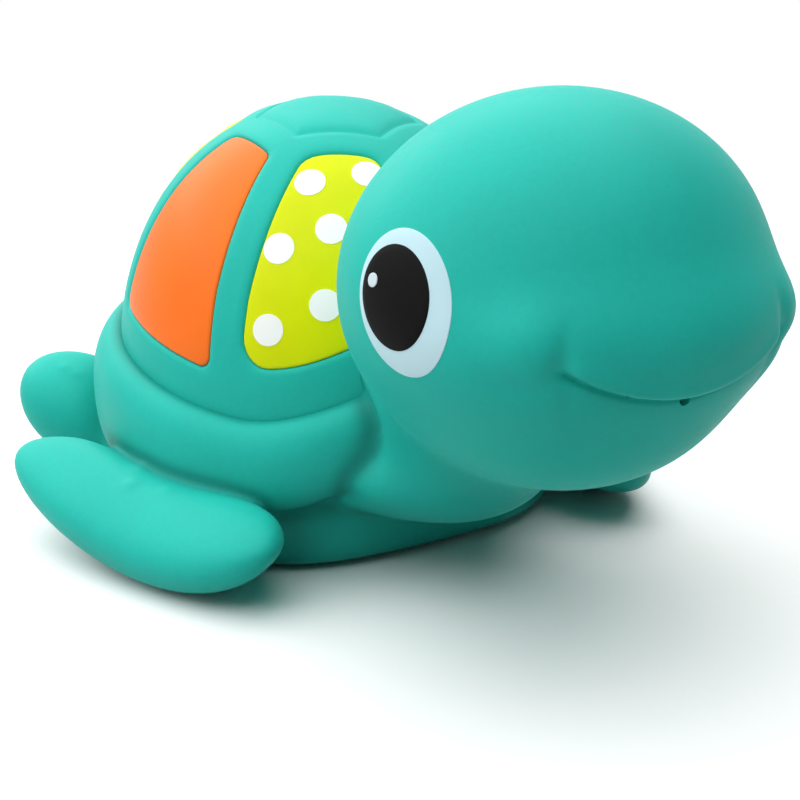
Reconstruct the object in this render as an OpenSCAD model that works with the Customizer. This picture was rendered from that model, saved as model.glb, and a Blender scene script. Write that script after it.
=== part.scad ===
// Soft vinyl turtle for the bath: a hollow squeeze toy with a squirt hole in
// the mouth and a squeaker pressed into the base.
// Millimetres, +Z up, the turtle faces -Y and its right side is -X.
// The origin lies on the floor under the middle of the toy.

/* [Head] */
// Width of the round skull
head_w = 65.2; // [54:0.2:68]
// Length of the round skull, without the muzzle
head_l = 57.8; // [50:0.2:62]
// Height of the round skull
head_h = 54.4; // [48:0.2:60]
// Height of the middle of the head above the floor
head_z = 52.8; // [49:0.2:58]
// How far the back of the skull reaches over the front of the shell
head_tuck = 3.5; // [0:0.1:4.5]
// Width of the neck where it enters the shell
neck_w = 32; // [26:0.5:36]
// Height of the neck where it enters the shell
neck_h = 35; // [30:0.5:37]
// Width of the chest under the neck
chest_w = 42; // [36:0.5:46]

/* [Eyes] */
// Width of the white of an eye
eye_w = 16.7; // [14:0.1:21]
// Height of the white of an eye
eye_h = 20.9; // [17:0.1:24]
// Width of a pupil
pupil_w = 12.4; // [9:0.1:13.5]
// Height of a pupil
pupil_h = 14.5; // [10:0.1:16]
// Width of the glint in a pupil
glint_w = 2; // [1:0.1:3]

/* [Shell] */
// Width of the domed shell at its foot
shell_w = 73.5; // [68:0.5:80]
// Length of the domed shell at its foot
shell_l = 79.1; // [74:0.5:86]
// Height of the dome above its widest level
shell_rise = 46.6; // [40:0.2:50]
// Height of the widest level of the dome above the floor
shell_base = 24.9; // [24:0.1:27]
// Distance from the origin back to the middle of the shell
shell_back = 25.85; // [20:0.05:30]
// How far the shell goes down when it is squeezed
squeeze_travel = 6; // [2:0.5:6]
// Distance across the raised crown pad on top of the shell
pad_d = 28.4; // [22:0.2:30]
// Width of the ribs between the coloured panels
rib_w = 6.1; // [4:0.1:7]
// Width of the band between the crown pad and the panels
pad_band = 4.4; // [3:0.1:6]
// Diameter of the white dots on the panels
dot_d = 5.1; // [3:0.1:6]

/* [Rim and belly] */
// How far the rim bulges out from the foot of the shell
rim_bulge = 4.6; // [3:0.1:6]
// Height of the top of the rim at its lowest place, above the floor
rim_top = 26.1; // [25:0.1:28]
// Height of the underside of the rim at its lowest place, above the floor
rim_under = 11.6; // [11:0.1:14]
// Width of the belly
belly_w = 72; // [66:0.5:74]
// Length of the belly
belly_l = 67; // [62:0.5:72]
// Height above the floor at which the belly is widest
belly_mid = 9; // [8:0.1:10]

/* [Flippers] */
// Width of a front flipper
front_fin_w = 21.9; // [16:0.1:23]
// Thickness of a front flipper
front_fin_t = 12.9; // [9:0.1:14]
// Height of the tip of a front flipper above the floor
front_fin_rise = 14.2; // [13.5:0.1:17]
// Width of a rear flipper
rear_fin_w = 20.3; // [15:0.1:21]
// Thickness of a rear flipper
rear_fin_t = 15.4; // [11:0.1:15.8]
// Height of the tip of a rear flipper above the floor
rear_fin_rise = 19.9; // [19:0.1:23]

/* [Skin] */
// Thickness of the vinyl skin
skin_t = 2; // [1.6:0.1:2.6]
// Depth of the recesses that the panels lie in
recess = 1; // [0.8:0.05:1.2]
// Thickness of a panel
panel_t = 0.7; // [0.5:0.05:0.75]
// Diameter of the squirt hole in the mouth
squirt_d = 1.5; // [1:0.1:2]

/* [Squeaker] */
// Diameter of the squeaker barrel
barrel_d = 12; // [11:0.1:13]
// Diameter of the flange of the squeaker barrel
flange_d = 17; // [16:0.1:18]
// Thickness of the flange
flange_t = 1.2; // [1:0.1:1.6]
// Height of the top of the barrel above the floor
barrel_top = 11; // [10.6:0.1:11.2]
// Diameter of the bore that holds the reed
reed_bore_d = 8; // [7.4:0.1:8.6]
// Thickness of the reed
reed_t = 0.2; // [0.15:0.05:0.3]
// Width of the reed
reed_w = 4.4; // [3.6:0.1:5]
// How far the tip of the reed can swing to either side
reed_swing = 0.4; // [0.2:0.05:0.5]

/* [Hidden] */

// Colours as painted
teal = [0.25, 0.78, 0.70];
deep_teal = [0.20, 0.66, 0.60];
orange = [1.0, 0.50, 0.18];
lime = [0.87, 0.92, 0.12];
paint_white = [1.0, 1.0, 0.98];
eye_blue_white = [0.74, 0.87, 0.89];
ink = [0.09, 0.09, 0.09];
plastic = [0.92, 0.92, 0.88];
reed_film = [0.80, 0.84, 0.86];

// Gaps: between a sliding and a fixed piece, round the neck, round a piece let
// in, and under a piece of paint
slide_gap = 0.4;
neck_gap = 0.6;
let_in_gap = 0.1;
paint_gap = 0.04;
// How far a cutting form runs past what it cuts
overrun = 1;

// Points round a form and rows up a form
around = 48;
head_rows = 24;
dome_rows = 14;
neck_around = 36;
neck_rows = 18;
inside_around = 32;
inside_rows = 16;
rim_sides = 10;
fin_around = 16;
fin_rows = 12;
eye_around = 20;
ring_rows = 3;

// Middle of the shell, its front, and the middle of the head
shell_mid = [0, shell_back, shell_base];
shell_front = shell_back - shell_l / 2;
head_half = [head_w, head_l, head_h] / 2;
head_mid = [0, shell_front - head_half[1] + head_tuck, head_z];

// The head is three ellipsoids blended: skull, muzzle and jaw. Places and half
// sizes are shares of half the skull's width, length and height.
skull_place_shares = [0, -0.005, 0.047];
skull_size_shares = [1, 0.982, 1.007];
muzzle_place_shares = [0, -0.299, -0.087];
muzzle_size_shares = [0.911, 0.8016, 0.569];
jaw_place_shares = [0, -0.083, -0.338];
jaw_size_shares = [0.767, 0.837, 0.687];
// How sharply the forms of the head blend, and the neck with the chest
head_blend = 16;
neck_blend = 6;

// Neck and chest: places from the front of the shell and the floor
neck_in = 1.5;
neck_z = 29.5;
neck_l = 46;
chest_in = 8.5;
chest_z = 18;
chest_l = 44;
chest_h = 19;
// The open end of the neck lies this far behind the front of the shell
neck_mouth = 9;
neck_mid = [0, shell_front + neck_in, neck_z];
chest_mid = [0, shell_front + chest_in, chest_z];

// Squirt hole: its height on the head, as an angle down from the middle
squirt_down = 17.1;

// Eyes: the way from the middle of the head, turned from straight ahead and up
eye_turn = 76.1;
eye_up = 6.9;
// How far the pupil lies off the middle of the white, and the glint off the
// middle of the pupil, back and up, as shares of the room that each has
pupil_off_shares = [0.605, 0.159];
glint_off_shares = [0.792, 0.244];
// How far the top of an eye leans back
eye_lean = 20;
// Thickness of the paint of an eye
paint_t = 0.3;

// Dome: how square its curve is, and the widths of its foot
dome_power = 2.12;
foot_h = 3;
foot_z = shell_base - foot_h;

// Crown pad: middle, ribs as angles from straight ahead, and its height
pad_ahead = 3.2;
pad_mid = [0, shell_back - pad_ahead];
pad_lift = 0.4;
pad_edge_share = 0.92;
pad_top_share = 0.6;
rib_angles = [0, 61, 118.5, 180, 241.5, 299];
// How far the ribs ahead of the side panels lean back at their foot, and at
// their top ahead; the level of no lean and the reach of the lean, as shares
rib_lean = 0.8;
lean_mid_share = 0.667;
lean_reach_share = 0.236;
// Height of the foot of each panel above the top of the rim
panel_feet = [8.4, 5.9, 8.3, 8.3, 5.9, 8.4];
// Radius of a panel's corners, and how much longer the dome's slope is there
// than its height, at the top of a panel
panel_corner = 2;
slope_share = 1.8;
panel_steps = 8;
// Share of the turn between two ribs that a rib and a corner take up
rough_share = 0.12;
panel_row_shares = [0.35, 0.7, 1];
// Places of the dots on a panel, across and down, as shares
dot_shares = [[0.205, 0.1], [0.79, 0.12], [0.175, 0.4], [0.55, 0.35],
    [0.88, 0.41], [0.56, 0.72], [0.86, 0.8]];
dot_t = 0.3;

// Rim: where it is lowest, how far it rises to the front and the rear, and
// the powers that shape the two waves
rim_top_low = 52;
rim_top_front = 8.4;
rim_top_rear = 9.5;
rim_under_low = 60;
rim_under_front = 15.4;
rim_under_rear = 3.4;
rim_land = 1.8;
rim_power = 2.15;
rim_grow = 0.3;

// Belly: powers of its plan and of its side, height of its unseen lower half
belly_power = 3;
belly_side_power = 6;
belly_sink = 0.5;
belly_half_h = belly_mid + belly_sink;
belly_row_shares = [0, 0.05, 0.15, 0.33, 0.6, 1];

// Flippers: root, bend and tip, as shares of half the shell's width and length
// and of the rise of the tip
front_fin_shares = [[0.969, -1.069, 0.803], [1.012, -0.538, 0.31], [1.456, 0.361, 1]];
rear_fin_shares = [[0.552, 0.591, 0.276], [0.895, 0.932, 0.563], [1.148, 1.018, 1]];
front_fin_bank = 25.6;
rear_fin_bank = 31;
front_fin_taper = 1.05;
rear_fin_taper = 1.01;
fin_power = 2.3;

// Squeaker: it stands in a socket in the middle of the base
flange_sunk = 0.2;
socket_h = 8;
socket_wall = 2;
shelf_t = 1.2;
vent_d = 3;
seat_foot = flange_sunk + flange_t + shelf_t;
reed_clamp_h = 2.2;
reed_free_h = 5;
air_groove_w = 2.2;
air_groove_t = 1;
tongue_gap = 0.12;

// Way from the middle of a form, turned from straight ahead to the right side
function way(turn, up) = [-sin(turn) * cos(up), -cos(turn) * cos(up), sin(up)];
function unit(v) = v / norm(v);
function each_share(shares, sizes) = [for (i = [0:2]) shares[i] * sizes[i]];

// Distance along a ray from the origin to the far side of an ellipsoid
function far_side(ray, mid, half) =
    let (a = [for (i = [0:len(ray) - 1]) ray[i] / half[i]],
        b = [for (i = [0:len(ray) - 1]) mid[i] / half[i]],
        q = pow(a * b, 2) - (a * a) * (b * b - 1))
    q <= 0 ? 0 : max(0, (a * b + sqrt(q)) / (a * a));

// Largest of some distances, blended where they are nearly equal
function soft_max(list, power) =
    let (top = max(list))
    top * pow([for (r = list) pow(r / top, power)] * [for (r = list) 1], 1 / power);

function head_radius(ray) =
    soft_max([
        far_side(ray, each_share(skull_place_shares, head_half),
            each_share(skull_size_shares, head_half)),
        far_side(ray, each_share(muzzle_place_shares, head_half),
            each_share(muzzle_size_shares, head_half)),
        far_side(ray, each_share(jaw_place_shares, head_half),
            each_share(jaw_size_shares, head_half))], head_blend);
function neck_radius(ray) =
    soft_max([
        far_side(ray, [0, 0, 0], [neck_w, neck_l, neck_h] / 2),
        far_side(ray, chest_mid - neck_mid, [chest_w, chest_l, chest_h] / 2)], neck_blend);

// The room that the neck needs in the shell while the shell goes down
module neck_sweep() {
    for (share = [0, 0.5, 1]) translate([0, 0, squeeze_travel * share]) neck_form(neck_gap);
}

// A closed skin through rings of points, its ends closed on two points
module skin(first, rings, last) {
    n = len(rings[0]);
    m = len(rings);
    polyhedron(
        points = [first, for (ring = rings) each ring, last],
        faces = [
            for (j = [0:n - 1]) [0, 1 + j, 1 + (j + 1) % n],
            for (i = [0:m - 2]) for (j = [0:n - 1])
                [1 + i * n + j, 1 + (i + 1) * n + j, 1 + i * n + (j + 1) % n],
            for (i = [0:m - 2]) for (j = [0:n - 1])
                [1 + i * n + (j + 1) % n, 1 + (i + 1) * n + j, 1 + (i + 1) * n + (j + 1) % n],
            for (j = [0:n - 1]) [1 + m * n, 1 + (m - 1) * n + (j + 1) % n, 1 + (m - 1) * n + j]]);
}

// A closed band through sections of points that go round and meet
module band(sections) {
    n = len(sections[0]);
    m = len(sections);
    polyhedron(
        points = [for (section = sections) each section],
        faces = [
            for (i = [0:m - 1]) for (j = [0:n - 1])
                [i * n + j, ((i + 1) % m) * n + j, i * n + (j + 1) % n],
            for (i = [0:m - 1]) for (j = [0:n - 1])
                [i * n + (j + 1) % n, ((i + 1) % m) * n + j, ((i + 1) % m) * n + (j + 1) % n]]);
}

// A closed form whose distance from its middle is known along every ray
module round_form(mid, n, rows, radius) {
    skin(mid + way(0, -90) * radius(way(0, -90)),
        [for (i = [1:rows - 1]) [for (j = [0:n - 1])
            let (ray = way(-360 * j / n, -90 + 180 * i / rows)) mid + ray * radius(ray)]],
        mid + way(0, 90) * radius(way(0, 90)));
}
module head_form()
    round_form(head_mid, around, head_rows, function (ray) head_radius(ray));
module neck_form(grow)
    round_form(neck_mid, neck_around, neck_rows, function (ray) neck_radius(ray) + grow);

module head_skin() color(teal) difference() {
    union() {
        head_form();
        neck_form(0);
    }
    round_form(head_mid, inside_around, inside_rows, function (ray) head_radius(ray) - skin_t);
    neck_form(-skin_t);
    translate([-head_w, shell_front + neck_mouth, 0])
        cube([2 * head_w, shell_l, head_z + head_h]);
    translate(head_mid) rotate([90 + squirt_down, 0, 0])
        cylinder(d = squirt_d, h = head_l, $fn = 24);
}

// Distance from the middle of the shell to its foot, in plan
function oval_radius(turn, half_w, half_l, power) =
    pow(pow(abs(sin(turn)) / half_w, power) + pow(abs(cos(turn)) / half_l, power), -1 / power);
function from_front(turn) = abs((turn + 540) % 360 - 180);
// A level that is lowest at one angle and rises to the front and the rear
function wave(turn, low, low_at, front, rear, front_power, rear_power) =
    let (a = from_front(turn))
    a < low_at
        ? low + front * pow(0.5 + 0.5 * cos(180 * a / low_at), front_power)
        : low + rear * pow(0.5 - 0.5 * cos(180 * (a - low_at) / (180 - low_at)), rear_power);
function rim_top_z(turn) = wave(turn, rim_top, rim_top_low, rim_top_front, rim_top_rear, 1, 0.65);
function rim_under_z(turn) =
    wave(turn, rim_under, rim_under_low, rim_under_front, rim_under_rear, 2, 1);
function plan_point(turn, radius, z) =
    [-sin(turn) * radius, shell_back - cos(turn) * radius, z];
function rim_inner(turn) =
    oval_radius(turn, shell_w / 2 + slide_gap, shell_l / 2 + slide_gap, 2);
// The same, drawn in above the widest level as the dome is
function dome_share(z) =
    pow(1 - pow(max(0, z - shell_base) / shell_rise, dome_power), 1 / dome_power);
function rim_inner_at(turn, z) =
    rim_inner(turn) - oval_radius(turn, shell_w / 2, shell_l / 2, 2) * (1 - dome_share(z));

// The rim: a rounded section swept round the foot of the shell
module rim_form() {
    tallest = rim_top_z(180) - rim_under_z(180);
    band([for (j = [0:around - 1])
        let (turn = 360 * j / around, inner = rim_inner(turn),
            low = rim_under_z(turn), high = rim_top_z(turn),
            half = (high - low) / 2,
            bulge = rim_bulge * pow(2 * half / tallest, rim_grow) - rim_land)
        [for (share = [1, 2 / 3, 1 / 3, 0])
                let (z = low + 2 * half * share) plan_point(turn, rim_inner_at(turn, z), z),
            for (i = [0:rim_sides])
                let (a = -90 + 180 * i / rim_sides,
                    out = pow(abs(cos(a)), 2 / rim_power),
                    rise = sign(a) * pow(abs(sin(a)), 2 / rim_power),
                    drawn_in = (inner - rim_inner_at(turn, high)) * max(0, rise))
                plan_point(turn, inner - drawn_in + rim_land + bulge * out,
                    low + half + half * rise)]]);
}

module shell_rim() color(deep_teal) difference() {
    rim_form();
    neck_form(0);
}

// The belly: a tub with a flat base whose wall carries the rim
function belly_row(share, inset) =
    [for (j = [0:around - 1])
        let (turn = -360 * j / around, z = share * belly_mid,
            sunk = (belly_mid - z) / belly_half_h,
            fall = pow(1 - pow(sunk, belly_side_power), 1 / belly_side_power),
            radius = oval_radius(turn, belly_w / 2, belly_l / 2, belly_power))
        plan_point(turn, radius * fall - inset, max(z, inset))];
function belly_edge(inset) =
    [for (j = [0:around - 1])
        let (turn = -360 * j / around)
        plan_point(turn, rim_inner(turn) + rim_land - inset, rim_under_z(turn))];

module belly_form() {
    skin([0, shell_back, 0],
        [for (share = belly_row_shares) belly_row(share, 0), belly_edge(0), belly_edge(rim_land)],
        [0, shell_back, rim_under]);
}

module belly_hollow() {
    skin([0, shell_back, skin_t],
        [for (share = belly_row_shares) if (share * belly_mid > skin_t) belly_row(share, skin_t),
            belly_edge(rim_land), [for (p = belly_edge(rim_land)) p + [0, 0, overrun]]],
        [0, shell_back, rim_under + overrun]);
}

module belly_skin() color(deep_teal) difference() {
    union() {
        difference() {
            belly_form();
            belly_hollow();
        }
        translate([0, shell_back, skin_t / 2])
            cylinder(d = flange_d + 2 * socket_wall, h = socket_h - skin_t / 2, $fn = 48);
    }
    translate([0, shell_back, -overrun])
        cylinder(d = barrel_d + 2 * let_in_gap, h = socket_h + 2 * overrun, $fn = 48);
    translate([0, shell_back, -overrun])
        cylinder(d = flange_d + 2 * let_in_gap, h = overrun + flange_sunk + flange_t, $fn = 48);
    neck_form(0);
}

// The dome of the shell, its foot a straight skirt
function dome_half(inset) = [shell_w / 2 - inset, shell_l / 2 - inset, shell_rise - inset];
function dome_radius(turn, up, inset) =
    let (half = dome_half(inset), ray = way(turn, up),
        flat = norm([ray[0] / half[0], ray[1] / half[1]]))
    pow(pow(flat, dome_power) + pow(ray[2] / half[2], dome_power), -1 / dome_power);
module dome_form(inset, foot, n, rows) {
    skin([0, shell_back, foot],
        [[for (j = [0:n - 1])
                let (turn = -360 * j / n, p = way(turn, 0) * dome_radius(turn, 0, inset))
                [p[0], shell_back + p[1], foot]],
            for (i = [0:rows - 1]) [for (j = [0:n - 1])
                let (turn = -360 * j / n, up = 90 * i / rows)
                shell_mid + way(turn, up) * dome_radius(turn, up, inset)]],
        shell_mid + [0, 0, dome_half(inset)[2]]);
}

// A point of the dome above or beside a place in plan, and the way out there
function dome_over(p) =
    let (flat = norm([p[0] / (shell_w / 2), (p[1] - shell_back) / (shell_l / 2)]))
    [p[0], p[1], shell_base + shell_rise * pow(max(0, 1 - pow(flat, dome_power)), 1 / dome_power)];
function dome_out(p) =
    let (x = p[0] / (shell_w / 2), y = (p[1] - shell_back) / (shell_l / 2),
        z = max(0, (p[2] - shell_base) / shell_rise), k = pow(norm([x, y]), dome_power - 2))
    unit([k * x / (shell_w / 2), k * y / (shell_l / 2), pow(z, dome_power - 1) / shell_rise]);
// A point of the dome at an angle about the crown pad and at a height
function dome_at(turn, z) =
    let (k = dome_share(z), ray = [-sin(turn), -cos(turn)],
        t = far_side(ray, [0, pad_ahead], [shell_w, shell_l] * k / 2))
    [ray[0] * t, pad_mid[1] + ray[1] * t, z];

// Crown pad: a low six-sided plateau whose corners point along the ribs
function pad_corner_at(i) =
    let (a = rib_angles[i % 6]) pad_mid + [-sin(a), -cos(a)] * pad_d / 2;
function pad_ring(share, lift) =
    [for (i = [5:-1:0]) for (k = [3:-1:0])
        let (p = pad_mid + share * (pad_corner_at(i) * (1 - k / 4) + pad_corner_at(i + 1) * k / 4
                - pad_mid))
        dome_over(p) + [0, 0, lift]];
module crown_pad() {
    skin(dome_over(pad_mid) - [0, 0, skin_t / 2],
        [pad_ring(1, -skin_t / 2), pad_ring(1, 0), pad_ring(pad_edge_share, pad_lift),
            pad_ring(pad_top_share, pad_lift)],
        dome_over(pad_mid) + [0, 0, pad_lift]);
}

// A panel between two ribs, from one depth to another, widened by grow
function panel_turns(k) =
    let (a = rib_angles[k], b = k == 5 ? 360 : rib_angles[k + 1]) [a, b];
function panel_top_z(k, turn, grow) =
    let (ends = panel_turns(k), mid = (ends[0] + ends[1]) / 2,
        reach = pad_d / 2 * cos((ends[1] - ends[0]) / 2) + pad_band - grow,
        t = reach / cos(turn - mid))
    dome_over(pad_mid + [-sin(turn), -cos(turn)] * t)[2];
function panel_foot_z(k, turn, grow) = rim_top_z(turn) + panel_feet[k] - grow;
function lean_at(i, z, reach) =
    let (level = (shell_base + lean_mid_share * shell_rise - z) / (lean_reach_share * shell_rise),
        back = rib_lean * max(-1, min(1, level)))
    i == 1 ? asin(back / reach) : i == 5 ? -asin(back / reach) : 0;
function panel_turn(k, across, down, grow, near) =
    let (ends = panel_turns(k),
        top = panel_top_z(k, near, grow),
        high = top - panel_foot_z(k, near, grow),
        z = top - high * down,
        reach = norm(dome_at(near, z) - [pad_mid[0], pad_mid[1], z]),
        side = asin((rib_w / 2 - grow) / reach),
        from_end = min(panel_corner, high * min(down * slope_share, 1 - down)),
        round = panel_corner - sqrt(max(0, pow(panel_corner, 2) - pow(panel_corner - from_end, 2))),
        inset = asin(round / reach),
        start = ends[0] + lean_at(k, z, reach) + side + inset,
        stop = ends[1] + lean_at(k + 1, z, reach) - side - inset)
    start + (stop - start) * across;
function panel_point(k, across, down, grow) =
    let (ends = panel_turns(k),
        rough = ends[0] + (ends[1] - ends[0]) * (rough_share + (1 - 2 * rough_share) * across),
        near = panel_turn(k, across, down, grow, rough),
        top = panel_top_z(k, near, grow))
    dome_at(panel_turn(k, across, down, grow, near),
        top - (top - panel_foot_z(k, near, grow)) * down);
function panel_rim(k, share, grow, depth) =
    let (n = panel_steps, c = 1 / 2,
        edge = [for (i = [0:n - 1]) [i / n, 0], for (i = [0:n - 1]) [1, ease(i / n)],
            for (i = [0:n - 1]) [1 - i / n, 1], for (i = [0:n - 1]) [0, ease(1 - i / n)]])
    [for (e = edge)
        let (p = panel_point(k, c + (e[0] - c) * share, c + (e[1] - c) * share, grow))
        p + dome_out(p) * depth];
function ease(t) = (1 - cos(180 * t)) / 2;
module panel_form(k, grow, low, high) {
    mid = panel_point(k, 0.5, 0.5, grow);
    skin(mid + dome_out(mid) * low,
        [for (share = panel_row_shares) panel_rim(k, share, grow, low),
            for (i = [2:-1:0]) panel_rim(k, panel_row_shares[i], grow, high)],
        mid + dome_out(mid) * high);
}
panel_low = -recess + paint_gap;
panel_high = panel_low + panel_t;
module panel(k) difference() {
    panel_form(k, -let_in_gap, panel_low, panel_high);
    if (k == 0 || k == 5) neck_sweep();
}

module shell_dome() color(teal) difference() {
    union() {
        dome_form(0, foot_z, around, dome_rows);
        crown_pad();
    }
    dome_form(skin_t, foot_z - overrun, inside_around, inside_rows / 2);
    for (k = [0:5]) panel_form(k, 0, -recess, overrun);
    neck_sweep();
}

// White dots: thin discs on the front and rear panels
module dots(k, flip) {
    for (share = dot_shares) {
        p = panel_point(k, flip ? 1 - share[0] : share[0], share[1], 0);
        out = dome_out(p);
        translate(p + out * (panel_high + paint_gap))
            rotate([0, acos(out[2]), atan2(out[1], out[0])])
                cylinder(d = dot_d, h = dot_t, $fn = 32);
    }
}

// A patch of paint on the head: an oval with an oval hole, at a place given by
// its turn and its height, as rings of rays
function oval_rays(place, size) =
    let (ray = way(place[0], place[1]), side = unit(cross(ray, [0, 0, 1])), rise = cross(side, ray),
        reach = head_radius(ray))
    [for (j = [0:eye_around - 1])
        let (a = -360 * j / eye_around, u = size[0] / 2 * cos(a), v = size[1] / 2 * sin(a))
        unit(ray * reach + side * (u * cos(eye_lean) + v * sin(eye_lean))
            + rise * (v * cos(eye_lean) - u * sin(eye_lean)))];
function on_head(rays, height) =
    [for (ray = rays) head_mid + ray * (head_radius(ray) + height)];
// Turn and height of an oval that lies off the middle of a larger one
function off_middle(place, outer, inner, shares) =
    let (reach = head_radius(way(place[0], place[1])))
    [for (i = [0:1]) place[i] + asin(shares[i] * (outer[i] - inner[i]) / 2 / reach)];
// A full patch
module patch(place, size) {
    ray = way(place[0], place[1]);
    shares = [0.5, 1];
    skin(head_mid + ray * (head_radius(ray) + paint_gap),
        [for (s = shares) on_head(oval_rays(place, size * s), paint_gap),
            for (i = [1:-1:0])
                on_head(oval_rays(place, size * shares[i]), paint_gap + paint_t)],
        head_mid + ray * (head_radius(ray) + paint_gap + paint_t));
}
// A patch with a hole: its sections go from the rim of the hole to the outer rim
module ring_patch(place, size, hole_place, hole_size) {
    outer = oval_rays(place, size);
    inner = oval_rays(hole_place, hole_size + 2 * paint_gap * [1, 1]);
    rows = [for (s = [0:ring_rows]) [for (j = [0:len(outer) - 1])
        unit(inner[j] * (1 - s / ring_rows) + outer[j] * s / ring_rows)]];
    low = [for (row = rows) on_head(row, paint_gap)];
    high = [for (row = rows) on_head(row, paint_gap + paint_t)];
    band([for (j = [0:len(outer) - 1])
        [for (s = [0:ring_rows]) high[s][j], for (s = [ring_rows:-1:0]) low[s][j]]]);
}
eye_at = [eye_turn, eye_up];
pupil_at = off_middle(eye_at, [eye_w, eye_h], [pupil_w, pupil_h], pupil_off_shares);
glint_at = off_middle(pupil_at, [pupil_w, pupil_h], [glint_w, glint_w], glint_off_shares);
module eye_white() color(eye_blue_white)
    ring_patch(eye_at, [eye_w, eye_h], pupil_at, [pupil_w, pupil_h]);
module pupil() color(ink)
    ring_patch(pupil_at, [pupil_w, pupil_h], glint_at, [glint_w, glint_w]);
module eye_glint() color(paint_white)
    patch(glint_at, [glint_w, glint_w]);

// A flipper: oval sections along a curve through its root, bend and tip
function fin_points(shares, rise) =
    [for (s = shares) [-s[0] * shell_w / 2, shell_back + s[1] * shell_l / 2, s[2] * rise]];
function fin_spine(p, t) = p[0] * pow(1 - t, 2) + p[1] * 2 * t * (1 - t) + p[2] * pow(t, 2);
function fin_section(p, t, half_w, half_t, bank) =
    let (along = unit((p[1] - p[0]) * (1 - t) + (p[2] - p[1]) * t),
        side = unit(cross(along, [0, 0, 1])), rise = cross(side, along),
        wide = side * cos(bank) + rise * sin(bank),
        thick = rise * cos(bank) - side * sin(bank), mid = fin_spine(p, t))
    [for (j = [0:fin_around - 1])
        let (a = -360 * j / fin_around,
            u = sign(cos(a)) * pow(abs(cos(a)), 2 / fin_power),
            v = sign(sin(a)) * pow(abs(sin(a)), 2 / fin_power))
        mid + wide * (half_w * u) + thick * (half_t * v)];
module fin_form(shares, rise, w, t, bank, taper, inset) {
    p = fin_points(shares, rise);
    ends = inset / norm(p[2] - p[0]);
    skin(fin_spine(p, ends),
        [for (i = [1:fin_rows - 1])
            let (share = pow((1 - cos(180 * i / fin_rows)) / 2, 1 / taper),
                full = sin(180 * i / fin_rows))
            fin_section(p, ends + (1 - 2 * ends) * share,
                (w / 2 - inset) * full, (t / 2 - inset) * full, bank)],
        fin_spine(p, 1 - ends));
}
module front_fin(inset)
    fin_form(front_fin_shares, front_fin_rise, front_fin_w, front_fin_t,
        front_fin_bank, front_fin_taper, inset);
module rear_fin(inset)
    fin_form(rear_fin_shares, rear_fin_rise, rear_fin_w, rear_fin_t,
        rear_fin_bank, rear_fin_taper, inset);
module rim_core() {
    skin([0, shell_back, 0],
        [for (z = [rim_under, rim_top]) [for (j = [0:around - 1])
            let (turn = -360 * j / around) plan_point(turn, rim_inner(turn), z)]],
        [0, shell_back, rim_top]);
}
module body_forms() {
    belly_form();
    rim_form();
    rim_core();
    translate([-shell_w, shell_back - shell_l, -shell_l]) cube([2 * shell_w, 2 * shell_l, shell_l]);
}
module front_flipper() color(teal) difference() {
    front_fin(0);
    front_fin(skin_t);
    body_forms();
}
module rear_flipper() color(teal) difference() {
    rear_fin(0);
    rear_fin(skin_t);
    body_forms();
}

// Squeaker barrel: a flange, a bore for the reed and a shelf with a vent
module squeaker_barrel() color(plastic) translate([0, shell_back, 0]) difference() {
    union() {
        translate([0, 0, flange_sunk]) cylinder(d = flange_d, h = flange_t, $fn = 48);
        translate([0, 0, flange_sunk]) cylinder(d = barrel_d, h = barrel_top - flange_sunk, $fn = 48);
    }
    translate([0, 0, seat_foot]) cylinder(d = reed_bore_d, h = barrel_top, $fn = 48);
    translate([0, 0, -overrun]) cylinder(d = vent_d, h = seat_foot + 2 * overrun, $fn = 32);
}

// Half of a cylinder that fills the bore, on one side of the reed
reed_room = reed_t / 2 + tongue_gap;
insert_h = reed_clamp_h + reed_free_h;
module half_insert(side) intersection() {
    translate([0, shell_back, seat_foot])
        cylinder(d = reed_bore_d - 2 * let_in_gap, h = insert_h, $fn = 48);
    translate([-reed_bore_d, shell_back + (side > 0 ? reed_room : -reed_bore_d - reed_room), 0])
        cube([2 * reed_bore_d, reed_bore_d, barrel_top + reed_bore_d]);
}
// Seat of the reed, with the groove that the air goes through
module reed_seat() color(plastic) difference() {
    half_insert(-1);
    translate([-air_groove_w / 2, shell_back - reed_room - air_groove_t, seat_foot - overrun])
        cube([air_groove_w, air_groove_t + overrun, insert_h - reed_t + overrun]);
    translate([-reed_w / 2 - let_in_gap, shell_back - reed_room - reed_swing,
            seat_foot + reed_clamp_h])
        cube([reed_w + 2 * let_in_gap, reed_swing + overrun, reed_free_h + overrun]);
}
// Wedge that holds the reed, with room for the reed to swing
module reed_wedge() color(plastic) difference() {
    half_insert(1);
    translate([-reed_w / 2 - let_in_gap, shell_back, seat_foot + reed_clamp_h])
        cube([reed_w + 2 * let_in_gap, reed_room + reed_swing, reed_free_h + overrun]);
}
// The reed: a strip of film, clamped at its foot
module reed_tongue() color(reed_film)
    translate([-reed_w / 2, shell_back - reed_t / 2, seat_foot + let_in_gap])
        cube([reed_w, reed_t, insert_h - 2 * let_in_gap]);

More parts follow.
